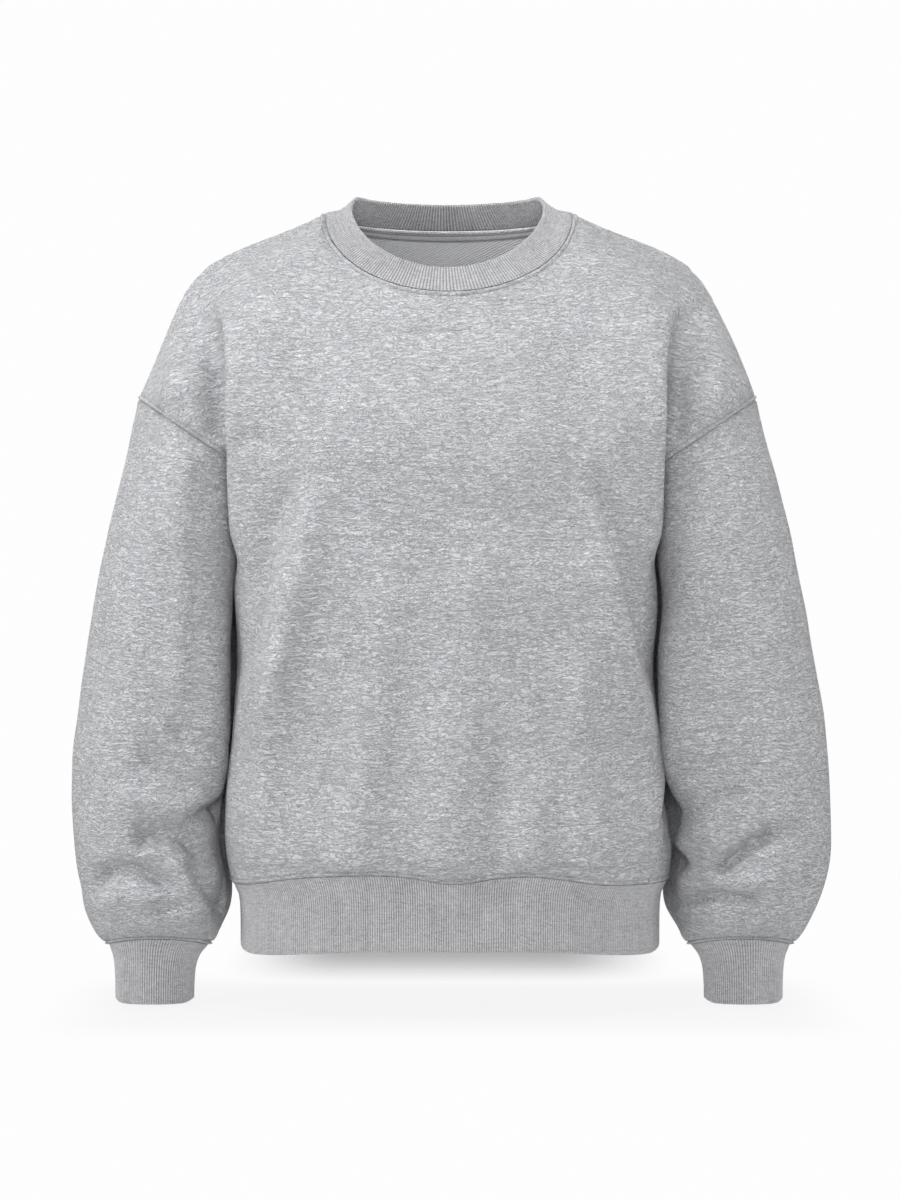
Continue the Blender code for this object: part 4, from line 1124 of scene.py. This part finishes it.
def band_grid(seam, edge, edge_normals, band, width, place, ribs):
    """The points of a band, a row for each turn of its section. place says where on the rings each lies."""
    start = seam.points
    down = unit(edge - start)
    side = abs(unit(start * (1, 1, 0))[:, [0]]) ** 2
    grid = []
    for share, turn in zip(*band_section(band, width)):
        middle = start + (edge - start) * points_of(*(drawn_in(share, band.pull),) * 2, share)
        facing = unit(seam.normals * (1 - share) + edge_normals * share)
        middle = middle + facing * (side * band.crown * np.sin(np.pi * share) - WALL / 2)
        out = facing * np.cos(turn) + down * np.sin(turn)
        middle, out = (read_ring(ring, place) for ring in (middle, out))
        plump = SEWN_THICKNESS + (1 - SEWN_THICKNESS) * smooth(share * width / SEWN_REACH)
        standing = ROLLED_RIBS + (1 - ROLLED_RIBS) * np.cos(turn) ** 2
        stands = plump * (band.half + band.rib * ribs * standing)
        grid.append(middle + unit(out) * stands[:, None])
    return np.stack(grid)


def ribbed(name, seam, edge, edge_normals, band, materials):
    """A band from its seam ring to its edge ring, which are closed and have as many points."""
    edge = cornered(edge, seam.points, band)
    width = np.linalg.norm(edge - seam.points, axis=1).mean()
    around = reach_of(np.concatenate([edge, edge[:1]]), 0)
    count = round(around[-1] / band.pitch) * PER_RIB
    at = np.arange(count) * around[-1] / count
    place = np.interp(at, around, np.arange(len(around))) + sines(at, RIB_WANDER)
    waves = 0.5 + 0.5 * np.cos(2 * np.pi * np.arange(count) / PER_RIB)
    ribs = waves**RIB_ROUND * (1 + sines(at, RIB_UNEVEN))
    grid = band_grid(seam, edge, edge_normals, band, width, place, ribs)
    made = band_mesh(name, grid, materials)
    steps = np.linalg.norm(np.diff(grid, axis=0), axis=2).mean(axis=1)
    down = np.concatenate([[0], np.cumsum(steps)]) * MM
    corners = band_corners(made.data, count)
    across = {"cloth": np.append(at, around[-1]) * MM, "ribs": np.arange(count + 1) / PER_RIB}
    for layer, places in across.items():
        paint(made, layer, np.stack(np.meshgrid(places, down), axis=-1), corners)
    return made, (around[-1] * MM, width * MM)


def read_ring(ring, place):
    """A closed ring of points read between them."""
    before = np.floor(place).astype(int)
    share = (place - before)[:, None]
    return ring[before % len(ring)] * (1 - share) + ring[(before + 1) % len(ring)] * share


def band_mesh(name, grid, materials):
    index = numbers(grid)
    closing = np.stack([index[-1], index[0]])
    faces = np.concatenate([grid_quads(index, closed=True), grid_quads(closing, closed=True)])
    return piece(name, grid.reshape(-1, 3), faces.tolist(), [0] * len(faces), materials)


def band_corners(mesh, columns):
    """The row and column of each corner of a closed band, whose last faces end where the first began."""
    row, column = np.divmod(whole_numbers(mesh.loops, "vertex_index"), columns)
    face = np.repeat(np.arange(len(mesh.polygons)), whole_numbers(mesh.polygons, "loop_total"))
    widest = np.zeros(len(mesh.polygons), int)
    np.maximum.at(widest, face, column)
    wraps = (widest[face] == columns - 1) & (column == 0)
    return row, np.where(wraps, columns, column)


# ---- neck tape

TAPE_ROWS = table(
    "down height",
    [
        (0, 0), (0.15, 0.6), (0.7, 0.75), (1.2, 0.45), (1.6, 0.45), (2.1, 0.8), (3.2, 0.95), (4.4, 0.95),
        (5.8, 0.85), (6.3, 0.5), (6.8, 0.5), (7.3, 0.8), (7.8, 0.65), (8, 0),
    ],
)  # fmt: skip
TAPE_ENDS = 3.0  # short of the shoulder seams


def tape(back, materials):
    """The strip of jersey sewn over the back neck seam, on the inside."""
    normals = back.outward * normals_of(back.points)
    top = back.points[-1]
    at_neck = np.flatnonzero(abs(top[:, 0]) < NECK_SEAM["half_width"] - TAPE_ENDS)
    columns = at_neck[top[at_neck, 2] < 0.5]
    lines = np.concatenate([back.points, normals], axis=-1)[::-1][:, columns]
    reach = reach_of(lines[..., :3], 0)
    rows = []
    for down, height in zip(*TAPE_ROWS.values()):
        place = TAPE_FROM_SEAM + down
        at = np.stack([read_line(lines[:, n], reach[:, n], place) for n in range(len(columns))])
        rows.append(at[:, :3] - unit(at[:, 3:]) * (WALL + TAPE_STANDS + height))
    face = np.stack(rows)
    index = numbers(face)
    faces = grid_quads(index).tolist()
    low, high = index[0], index[-1]
    faces += [[low[n], high[n], high[n + 1], low[n + 1]] for n in range(len(low) - 1)]
    faces += [index[:, 0].tolist(), index[::-1, -1].tolist()]
    made = piece("neck_tape_cloth", face.reshape(-1, 3), faces, [0] * len(faces), materials)
    along = reach_of(face, 1)
    down = np.broadcast_to(TAPE_ROWS["down"][:, None], along.shape)
    places = np.stack([along, down], axis=-1).reshape(-1, 2)
    paint(made, "cloth", places * MM)
    return made, along[0, -1] * MM


# ---- materials


class Nodes:
    """A node tree, and the nodes that are added to it."""

    def __init__(self, tree):
        self.tree = tree

    def add(self, kind, inputs=None, **settings):
        node = self.tree.nodes.new(kind)
        for key, value in settings.items():
            setattr(node, key, value)
        for socket, value in (inputs or {}).items():
            self.put(node.inputs[socket], value)
        return node.outputs[0]

    def put(self, socket, value):
        if isinstance(value, bpy.types.NodeSocket):
            self.tree.links.new(value, socket)
        else:
            socket.default_value = value

    def math(self, operation, *values):
        return self.add("ShaderNodeMath", dict(enumerate(values)), operation=operation)

    def times(self, *values):
        return self.math("MULTIPLY", *values)

    def plus(self, *values):
        return self.math("ADD", *values)

    def minus(self, *values):
        return self.math("SUBTRACT", *values)

    def off(self, value, middle):
        """How far value lies from middle."""
        return self.math("ABSOLUTE", self.minus(value, middle))

    def parts(self, vector):
        return self.add("ShaderNodeSeparateXYZ", {0: vector}).node.outputs

    def step(self, value, low, high):
        """0 where value is under low, 1 over high."""
        inputs = {"Value": value, "From Min": low, "From Max": high}
        return self.add("ShaderNodeMapRange", inputs, interpolation_type="SMOOTHSTEP")


class Shade(Nodes):
    """The nodes of a material, with its map of the flat cloth in metres."""

    def __init__(self, name):
        self.material = bpy.data.materials.new(name)
        self.material.use_nodes = True
        super().__init__(self.material.node_tree)
        self.shader = self.tree.nodes["Principled BSDF"]
        self.cloth = self.add("ShaderNodeUVMap", uv_map="cloth")

    def noise(self, size, detail, rough, shift, bend=0.0):
        """Noise with grains of size (u, v) in millimetres on the cloth, from 0 to 1."""
        scale = (1 / (size[0] * MM), 1 / (size[1] * MM), 1)
        stretched = self.add("ShaderNodeVectorMath", {0: self.cloth, 1: scale}, operation="MULTIPLY")
        moved = self.add("ShaderNodeVectorMath", {0: stretched, 1: (shift, shift, shift)}, operation="ADD")
        inputs = {"Vector": moved, "Scale": 1.0, "Detail": detail, "Roughness": rough, "Distortion": bend}
        return self.add("ShaderNodeTexNoise", inputs)

    def mix(self, share, first, second):
        node = self.tree.nodes.new("ShaderNodeMix")
        node.data_type = "RGBA"
        self.put(node.inputs["Factor"], share)
        self.put(node.inputs[6], first)
        self.put(node.inputs[7], second)
        return node.outputs[2]

    def total(self, base, *terms):
        """base plus each (share, value) of terms, where every value is centred on a half."""
        result = base
        for share, value in terms:
            result = self.plus(result, self.times(self.minus(value, 0.5), share))
        return result

    def finish(self, colour, height, depth, sheen=0.25):
        """The material, with its colour and a relief of so many millimetres."""
        bump = self.tree.nodes.new("ShaderNodeBump")
        bump.inputs["Distance"].default_value = depth * MM
        self.put(bump.inputs["Height"], height)
        self.put(self.shader.inputs["Normal"], bump.outputs[0])
        looks = {"Base Color": colour, "Sheen Weight": sheen, **COTTON}
        for name, value in looks.items():
            self.put(self.shader.inputs[name], value)
        return self.material


def rgb(*colour):
    return (*colour, 1.0)


FLEECE_LIGHT = rgb(0.72, 0.725, 0.74)
FLEECE_DARK = rgb(0.25, 0.255, 0.275)
FLECK_BLUE = rgb(0.20, 0.215, 0.27)
RIB_LIGHT = rgb(0.70, 0.70, 0.71)
RIB_DARK = rgb(0.13, 0.13, 0.145)
NECK_PAINTED_SHADE = 0.14  # painted shade: the share by which the whole neckband is darkened
INSIDE_LIGHT = rgb(0.96, 0.96, 0.98)
INSIDE_DARK = rgb(0.58, 0.58, 0.60)
# the dark that painted shade mixes a colour toward
SHADED = rgb(0.10, 0.10, 0.11)
COTTON = {"Roughness": 0.92, "Specular IOR Level": 0.25, "Sheen Roughness": 0.5}
# Noises of the heather: length and width in grains, detail, roughness, shift and bend
STREAK = (4.2, 1.0), 4.0, 0.6, 0.0, 0.5
FIBRE = (0.95, 0.32), 3.0, 0.6, 7.1, 0.0
PATCH = (17, 8), 2.0, 0.5, 3.3, 0.0
SPOTS = (1.3, 0.5), 2.0, 0.5, 11.7, 0.0
FIBRE_SHARE, PATCH_SHARE = 1.7, 0.2  # how much they tell against the streaks
FLECKS_FROM, FLECKS_FULL, FLECK_SHARE = 0.60, 0.70, 0.28

# The relief of the brushed outside, and the painted shade that the same things put in its colour
FURROWS = (8.0, 2.9), 21.0, 0.6, 0.26  # grain, shift, depth, painted shade
SMALL_FURROWS = (4.6, 1.9), 33.0, 0.3, 0.2
FURROW_HALF = 0.075  # how far from its middle a furrow reaches, in the noise that it is made from
THREAD, THREAD_HEIGHT, PRICK_DEPTH = (0.75, 0.35), 0.3, 0.4  # mm from the line of stitches
DASH = (0.44, 0.36)  # how far a stitch reaches from its middle, as a share of the pitch
HOLLOW, STITCH_HOLLOW_PAINTED_SHADE = (1.1, 0.2), 0.28  # mm from the line of stitches, and the painted shade in the hollow there
EDGE, SEAM_EDGE_PAINTED_SHADE = (1.2, 0.1), 0.3  # mm from the seam, and the painted shade in the ditch there

# The loop back
LOOP_PITCH, LOOP_SLANT, LOOP_WANDER = 2.3, -0.55, 1.2
LOOP_HEIGHT = 0.5
LOOP_PAINTED_SHADE, LOOP_PAINTED_SHADE_FALL = 0.2, -0.4  # how much painted shade the loops have at their middle, and how that falls to their tops

RIB_FURROW = (0.30, 0.04)  # how far from its middle a furrow between ribs reaches, in ribs
# how deep the furrows' relief is, and how much painted shade is put in them
RIB_FURROW_DEPTH, RIB_FURROW_PAINTED_SHADE = 0.6, 0.5
TAPE_SHADE_LINES = (0.0, 1.8, 6.6)  # mm down the tape: painted shade lines at its top edge and its stitches
# how far each line of painted shade reaches and where it is full, and how dark it is
TAPE_SHADE_LINE, TAPE_LINE_PAINTED_SHADE = (1.0, 0.2), 0.7


def heather(shade, light, dark, grain, contrast, shift):
    """Marled yarn: light and dark fibres drawn out along u, with a few bluish ones."""
    noises = []
    for (length, width), detail, rough, apart, bend in (STREAK, FIBRE, PATCH, SPOTS):
        noises.append(shade.noise((grain * length, grain * width), detail, rough, shift + apart, bend))
    streak, fibre, patch, spots = noises
    terms = (contrast, streak), (contrast * FIBRE_SHARE, fibre), (contrast * PATCH_SHARE, patch)
    share = shade.total(0.5, *terms)
    colour = shade.mix(shade.math("MINIMUM", shade.math("MAXIMUM", share, 0.0), 1.0), dark, light)
    fleck = shade.step(spots, FLECKS_FROM, FLECKS_FULL)
    return shade.mix(shade.times(fleck, FLECK_SHARE), colour, FLECK_BLUE), streak, fibre


def nap(shade, size, shift):
    """Low puffs of brushed nap with thin furrows between them: how deep in a furrow each place is."""
    clumps = shade.noise(size, 2.0, 0.5, shift, bend=0.9)
    return shade.step(shade.off(clumps, 0.5), FURROW_HALF, 0.0)


def near_line(shade, distance, limits):
    """0 beyond the first of limits, in millimetres, and 1 within the second."""
    return shade.step(distance, limits[0] * MM, limits[1] * MM)


def fleece_outside():
    shade = Shade("fleece_outside")
    colour, streak, fibre = heather(shade, FLEECE_LIGHT, FLEECE_DARK, grain=2.1, contrast=1.0, shift=0.0)
    height = shade.total(0.5, (0.5, streak), (0.25, fibre))
    painted_furrow_shades = []
    for size, shift, depth, share in (FURROWS, SMALL_FURROWS):
        furrow = nap(shade, size, shift)
        height = shade.minus(height, shade.times(furrow, depth))
        # painted shade in each furrow of the nap
        painted_furrow_shades.append(shade.times(furrow, share))
    along, away, _ = shade.parts(shade.add("ShaderNodeUVMap", uv_map="sewn"))
    line = shade.off(away, STITCH_LINE * MM)
    on_line = near_line(shade, line, THREAD)
    beat = shade.math("FRACT", shade.math("DIVIDE", along, STITCH_PITCH * MM))
    dash = shade.step(shade.off(beat, 0.5), *DASH)
    height = shade.plus(height, shade.times(shade.times(on_line, dash), THREAD_HEIGHT))
    height = shade.minus(height, shade.times(shade.times(on_line, shade.minus(1.0, dash)), PRICK_DEPTH))
    # painted shade in the hollow along the line of stitches
    stitch_hollow_shade = shade.times(near_line(shade, line, HOLLOW), STITCH_HOLLOW_PAINTED_SHADE)
    # painted shade in the ditch along the seam
    edge = shade.times(near_line(shade, away, EDGE), SEAM_EDGE_PAINTED_SHADE)
    # all the painted shade of the outside: the deepest of the stitch hollow, the seam ditch and the nap
    # furrows
    painted_shade = shade.math("MAXIMUM", shade.math("MAXIMUM", stitch_hollow_shade, edge), shade.plus(*painted_furrow_shades))
    return shade.finish(shade.mix(painted_shade, colour, SHADED), height, depth=1.0)


def fleece_inside():
    """Loop back: rows of small loops that slant across the cloth, with painted shade in the hollows between
    them.
    """
    shade = Shade("fleece_inside")
    colour, _, fibre = heather(shade, INSIDE_LIGHT, INSIDE_DARK, grain=1.4, contrast=0.45, shift=40.0)
    across, down, _ = shade.parts(shade.cloth)
    slant = shade.plus(shade.times(across, LOOP_SLANT), down)
    wander = shade.times(shade.noise((14, 9), 2.0, 0.5, 5.0), LOOP_WANDER * MM)
    phase = shade.times(shade.plus(slant, wander), 2 * np.pi / (LOOP_PITCH * MM))
    loops = shade.times(shade.math("SINE", phase), LOOP_HEIGHT)
    height = shade.plus(shade.total(0.5, (0.6, fibre)), loops)
    # painted shade: darker in the hollows between the loops, none on their tops
    dark = shade.plus(LOOP_PAINTED_SHADE, shade.times(loops, LOOP_PAINTED_SHADE_FALL))
    return shade.finish(shade.mix(dark, colour, INSIDE_DARK), height, depth=0.8)


def rib_knit(name, extra_painted_shade):
    """Ribs with painted shade in the furrows between them, and the whole band darker by a given share of
    painted shade.
    """
    shade = Shade(name)
    colour, _, fibre = heather(shade, RIB_LIGHT, RIB_DARK, grain=1.7, contrast=0.8, shift=60.0)
    # painted shade over the whole band, as much as is asked for
    colour = shade.mix(extra_painted_shade, colour, SHADED)
    beat = shade.math("FRACT", shade.parts(shade.add("ShaderNodeUVMap", uv_map="ribs"))[0])
    furrow = shade.step(shade.off(beat, 0.5), *RIB_FURROW)
    height = shade.total(0.5, (0.6, shade.noise((1.0, 0.8), 2.0, 0.6, 4.0)), (0.4, fibre))
    height = shade.minus(height, shade.times(furrow, RIB_FURROW_DEPTH))
    # painted shade in the furrows between the ribs
    colour = shade.mix(shade.times(furrow, RIB_FURROW_PAINTED_SHADE), colour, SHADED)
    return shade.finish(colour, height, depth=0.35, sheen=0.15)


def jersey_tape():
    """The tape, with painted shade along its top edge and its lines of stitches."""
    shade = Shade("jersey_tape")
    colour, streak, fibre = heather(shade, RIB_LIGHT, RIB_DARK, grain=1.2, contrast=0.6, shift=80.0)
    down = shade.parts(shade.cloth)[1]
    for row in TAPE_SHADE_LINES:
        # painted shade along each line
        painted_line = near_line(shade, shade.off(down, row * MM), TAPE_SHADE_LINE)
        colour = shade.mix(shade.times(painted_line, TAPE_LINE_PAINTED_SHADE), colour, SHADED)
    height = shade.total(0.5, (0.7, fibre), (0.4, streak))
    return shade.finish(colour, height, depth=0.25, sheen=0.1)


# ---- floor, light and camera

FLOOR_HEIGHT = CUFF_EDGE_HEIGHT - 2.5  # just under the cuffs
CAMERA = (0.85, -3200.0, -329.0)  # fitted to the outline in the photo, as the lens is
LENS = 112.94
BACKDROP = 0.985  # how bright it looks
FROM_BELOW, FROM_ABOVE = 0.8, 0.05  # how bright the room is under and over the horizon
HORIZON = 0.15  # half the depth over which the one turns into the other
# the grey of the floor where it is solid, which makes the painted shadow
PAINTED_SHADOW_GREY = 0.36
# Name, place and aim in metres, size and power
LAMPS = [
    ("top", (-0.10, -0.56, 2.02), (0, 0, -0.1), (1.0, 1.0), 37),
    ("left", (-1.73, -0.63, 1.34), (0, 0, -0.2), (1.0, 1.0), 16),
    ("low", (-2.20, -1.27, 0.34), (0, 0, -0.2), (1.0, 1.0), 26),
    ("front", (0.0, -2.95, 0.19), (0, 0, -0.33), (1.3, 1.3), 54),
    ("right", (2.85, -0.50, 0.45), (0, 0, -0.33), (1.3, 1.3), 31),
    ("back", (-0.9, 2.7, 0.9), (0, 0, -0.3), (1.4, 1.4), 55),
]


def light(name, place, aim, size, power):
    lamp = bpy.data.lights.new(name, "AREA")
    lamp.shape = "RECTANGLE"
    lamp.size, lamp.size_y = size
    lamp.energy = power
    made = add_object(name, lamp)
    made.location = place
    made.rotation_euler = (Vector(aim) - Vector(place)).to_track_quat("-Z", "Y").to_euler()


FLOOR_REACH = 1.2  # metres
SHADOW_SIDE = (0.22, 0.10)  # where the painted shadow on the floor behind the sweatshirt has faded out and where it is full
SHADOW_NEAR = (0.13, 0.50)  # the same at its nearer edge
SHADOW_FAR = (0.95, 0.70)  # and at its farther edge
UNDER_SIDE = (0.36, 0.26)  # the same for the fainter painted shadow on the floor right under the sweatshirt
UNDER_DEPTH = (0.30, 0.10)
UNDER_SHARE = 0.1  # how solid that is


def painted_shadow_share(shade, place):
    """How solid the grey floor is, which paints the sweatshirt's shadow: full behind it, faint under the
    cloth, and faded into the backdrop all round.
    """
    side, ahead = (shade.math("ABSOLUTE", axis) for axis in place[:2])
    shadow_behind = shade.step(side, *SHADOW_SIDE)
    for limits in (SHADOW_NEAR, SHADOW_FAR):
        shadow_behind = shade.times(shadow_behind, shade.step(place[1], *limits))
    # the faint painted shadow right under the sweatshirt
    under = shade.times(shade.step(side, *UNDER_SIDE), shade.step(ahead, *UNDER_DEPTH))
    return shade.math("MAXIMUM", shadow_behind, shade.times(under, UNDER_SHARE))


def floor():
    mesh = bpy.data.meshes.new("floor")
    reach = FLOOR_REACH
    corners = [(-reach, -reach), (reach, -reach), (reach, reach), (-reach, reach)]
    mesh.from_pydata([(x, y, FLOOR_HEIGHT * MM) for x, y in corners], [], [(0, 1, 2, 3)])
    shade = Shade("floor_painted_shadow")
    place = shade.parts(shade.add("ShaderNodeNewGeometry"))
    # a grey floor: its painted shadow shows where it is solid
    shadow_floor_look = {"Base Color": rgb(*(PAINTED_SHADOW_GREY,) * 3), "Roughness": 1.0, "Specular IOR Level": 0.0}
    for name, value in {**shadow_floor_look, "Alpha": painted_shadow_share(shade, place)}.items():
        shade.put(shade.shader.inputs[name], value)
    mesh.materials.append(shade.material)
    made = add_object("floor", mesh)


def room():
    """Even light from all round, more of it from the pale floor, in front of a plain backdrop."""
    world = bpy.data.worlds.new("studio")
    bpy.context.scene.world = world
    world.use_nodes = True
    nodes = Nodes(world.node_tree)
    up = nodes.parts(nodes.add("ShaderNodeTexCoord").node.outputs["Generated"])[2]
    limits = {"From Min": -HORIZON, "From Max": HORIZON, "To Min": FROM_BELOW, "To Max": FROM_ABOVE}
    even = nodes.add("ShaderNodeMapRange", {"Value": up, **limits})
    seen = nodes.add("ShaderNodeLightPath").node.outputs["Is Camera Ray"]
    strength = nodes.add("ShaderNodeMapRange", {"Value": seen, "To Min": even, "To Max": BACKDROP})
    background = nodes.tree.nodes["Background"]
    nodes.put(background.inputs["Color"], rgb(1, 1, 1))
    nodes.put(background.inputs["Strength"], strength)


def studio():
    scene = bpy.context.scene
    scene.view_settings.view_transform = "Standard"
    scene.view_settings.look = "None"
    room()
    floor()
    for lamp in LAMPS:
        light(*lamp)
    lens = bpy.data.cameras.new("camera")
    lens.lens = LENS
    lens.clip_end = 100
    camera = add_object("camera", lens)
    camera.location = Vector(CAMERA) * MM
    camera.rotation_euler = (np.pi / 2, 0, 0)
    scene.camera = camera


# ---- the sweatshirt


def declare(made, node):
    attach(made, "root")
    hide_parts(node)


CUFF_PUFFED = 1.35  # how many times as high a sleeve puffs up at its cuff
SIDE_POINTS, SHOULDER_POINTS, UNDERARM_POINTS = 700, 500, 900
FIRST_SEED = 5  # of the slow waves of the first cut piece


def fleece_seams():
    """The seams that each fleece piece has."""
    rows = np.linspace(0, UNDERARM_ROW, SIDE_POINTS)
    lines = np.linspace(NECK_LINE, LAST_LINE, SHOULDER_POINTS)
    armholes = {side: armhole_seam(side, AROUND) for side in SIDES}
    shared = [Sewn(hem_seam(AROUND), True), Sewn(neck_seam(AROUND), True)]
    for side in SIDES:
        shared.append(Sewn(armholes[side], True))
        shared.append(Sewn(side_seam(side, rows), False))
        shared.append(Sewn(shoulder_seam(side, lines), False))
    seams = {which: shared for which in PANELS}
    for side in SIDES:
        underarm = sleeve_rings(side, np.linspace(0, CUFF_ROW, UNDERARM_POINTS), np.array([180.0]))[:, 0]
        inward = unit(points_of(-SIDES[side] * np.ones(len(underarm)), 0, -0.2))
        seams[f"sleeve_{side}"] = [
            Sewn(armholes[side], False),
            Sewn(cuff_seam(side, AROUND), True, CUFF_PUFFED),
            Sewn(Seam(underarm, inward), False),
        ]
    return seams


def main():
    outside, inside, jersey = fleece_outside(), fleece_inside(), jersey_tape()
    # the neckband's knit has painted shade over all of it
    knit, neck_knit = rib_knit("rib_knit", 0.0), rib_knit("neck_rib_knit_painted_shade", NECK_PAINTED_SHADE)
    seams = fleece_seams()
    cuts = [cut_panel(which) for which in PANELS] + [cut_sleeve(side) for side in SIDES]
    for number, cut in enumerate(cuts):
        made = dress(cut, seams[cut.name], (outside, inside), FIRST_SEED + number)
        declare(made, cut.name)
    made, length = tape(cuts[PANELS.index("back")], (jersey,))
    declare(made, "neck_tape")
    hem = hem_edge(AROUND)
    bands = [
        ("neck_rib", neck_seam(AROUND), collar_edge(AROUND), neck_normal(AROUND), NECK_BAND, neck_knit),
        ("hem_rib", hem_seam(AROUND), hem, ring_normal(hem), HEM_BAND, knit),
    ]
    for side in SIDES:
        edge = cuff_edge(side, AROUND)
        bands.append((f"cuff_{side}", cuff_seam(side, AROUND), edge, sideways(edge), CUFF_BAND, knit))
    for node, *shape, material in bands:
        made, flat = ribbed(f"{node}_cloth", *shape, (material,))
        declare(made, node)
    studio()


main()
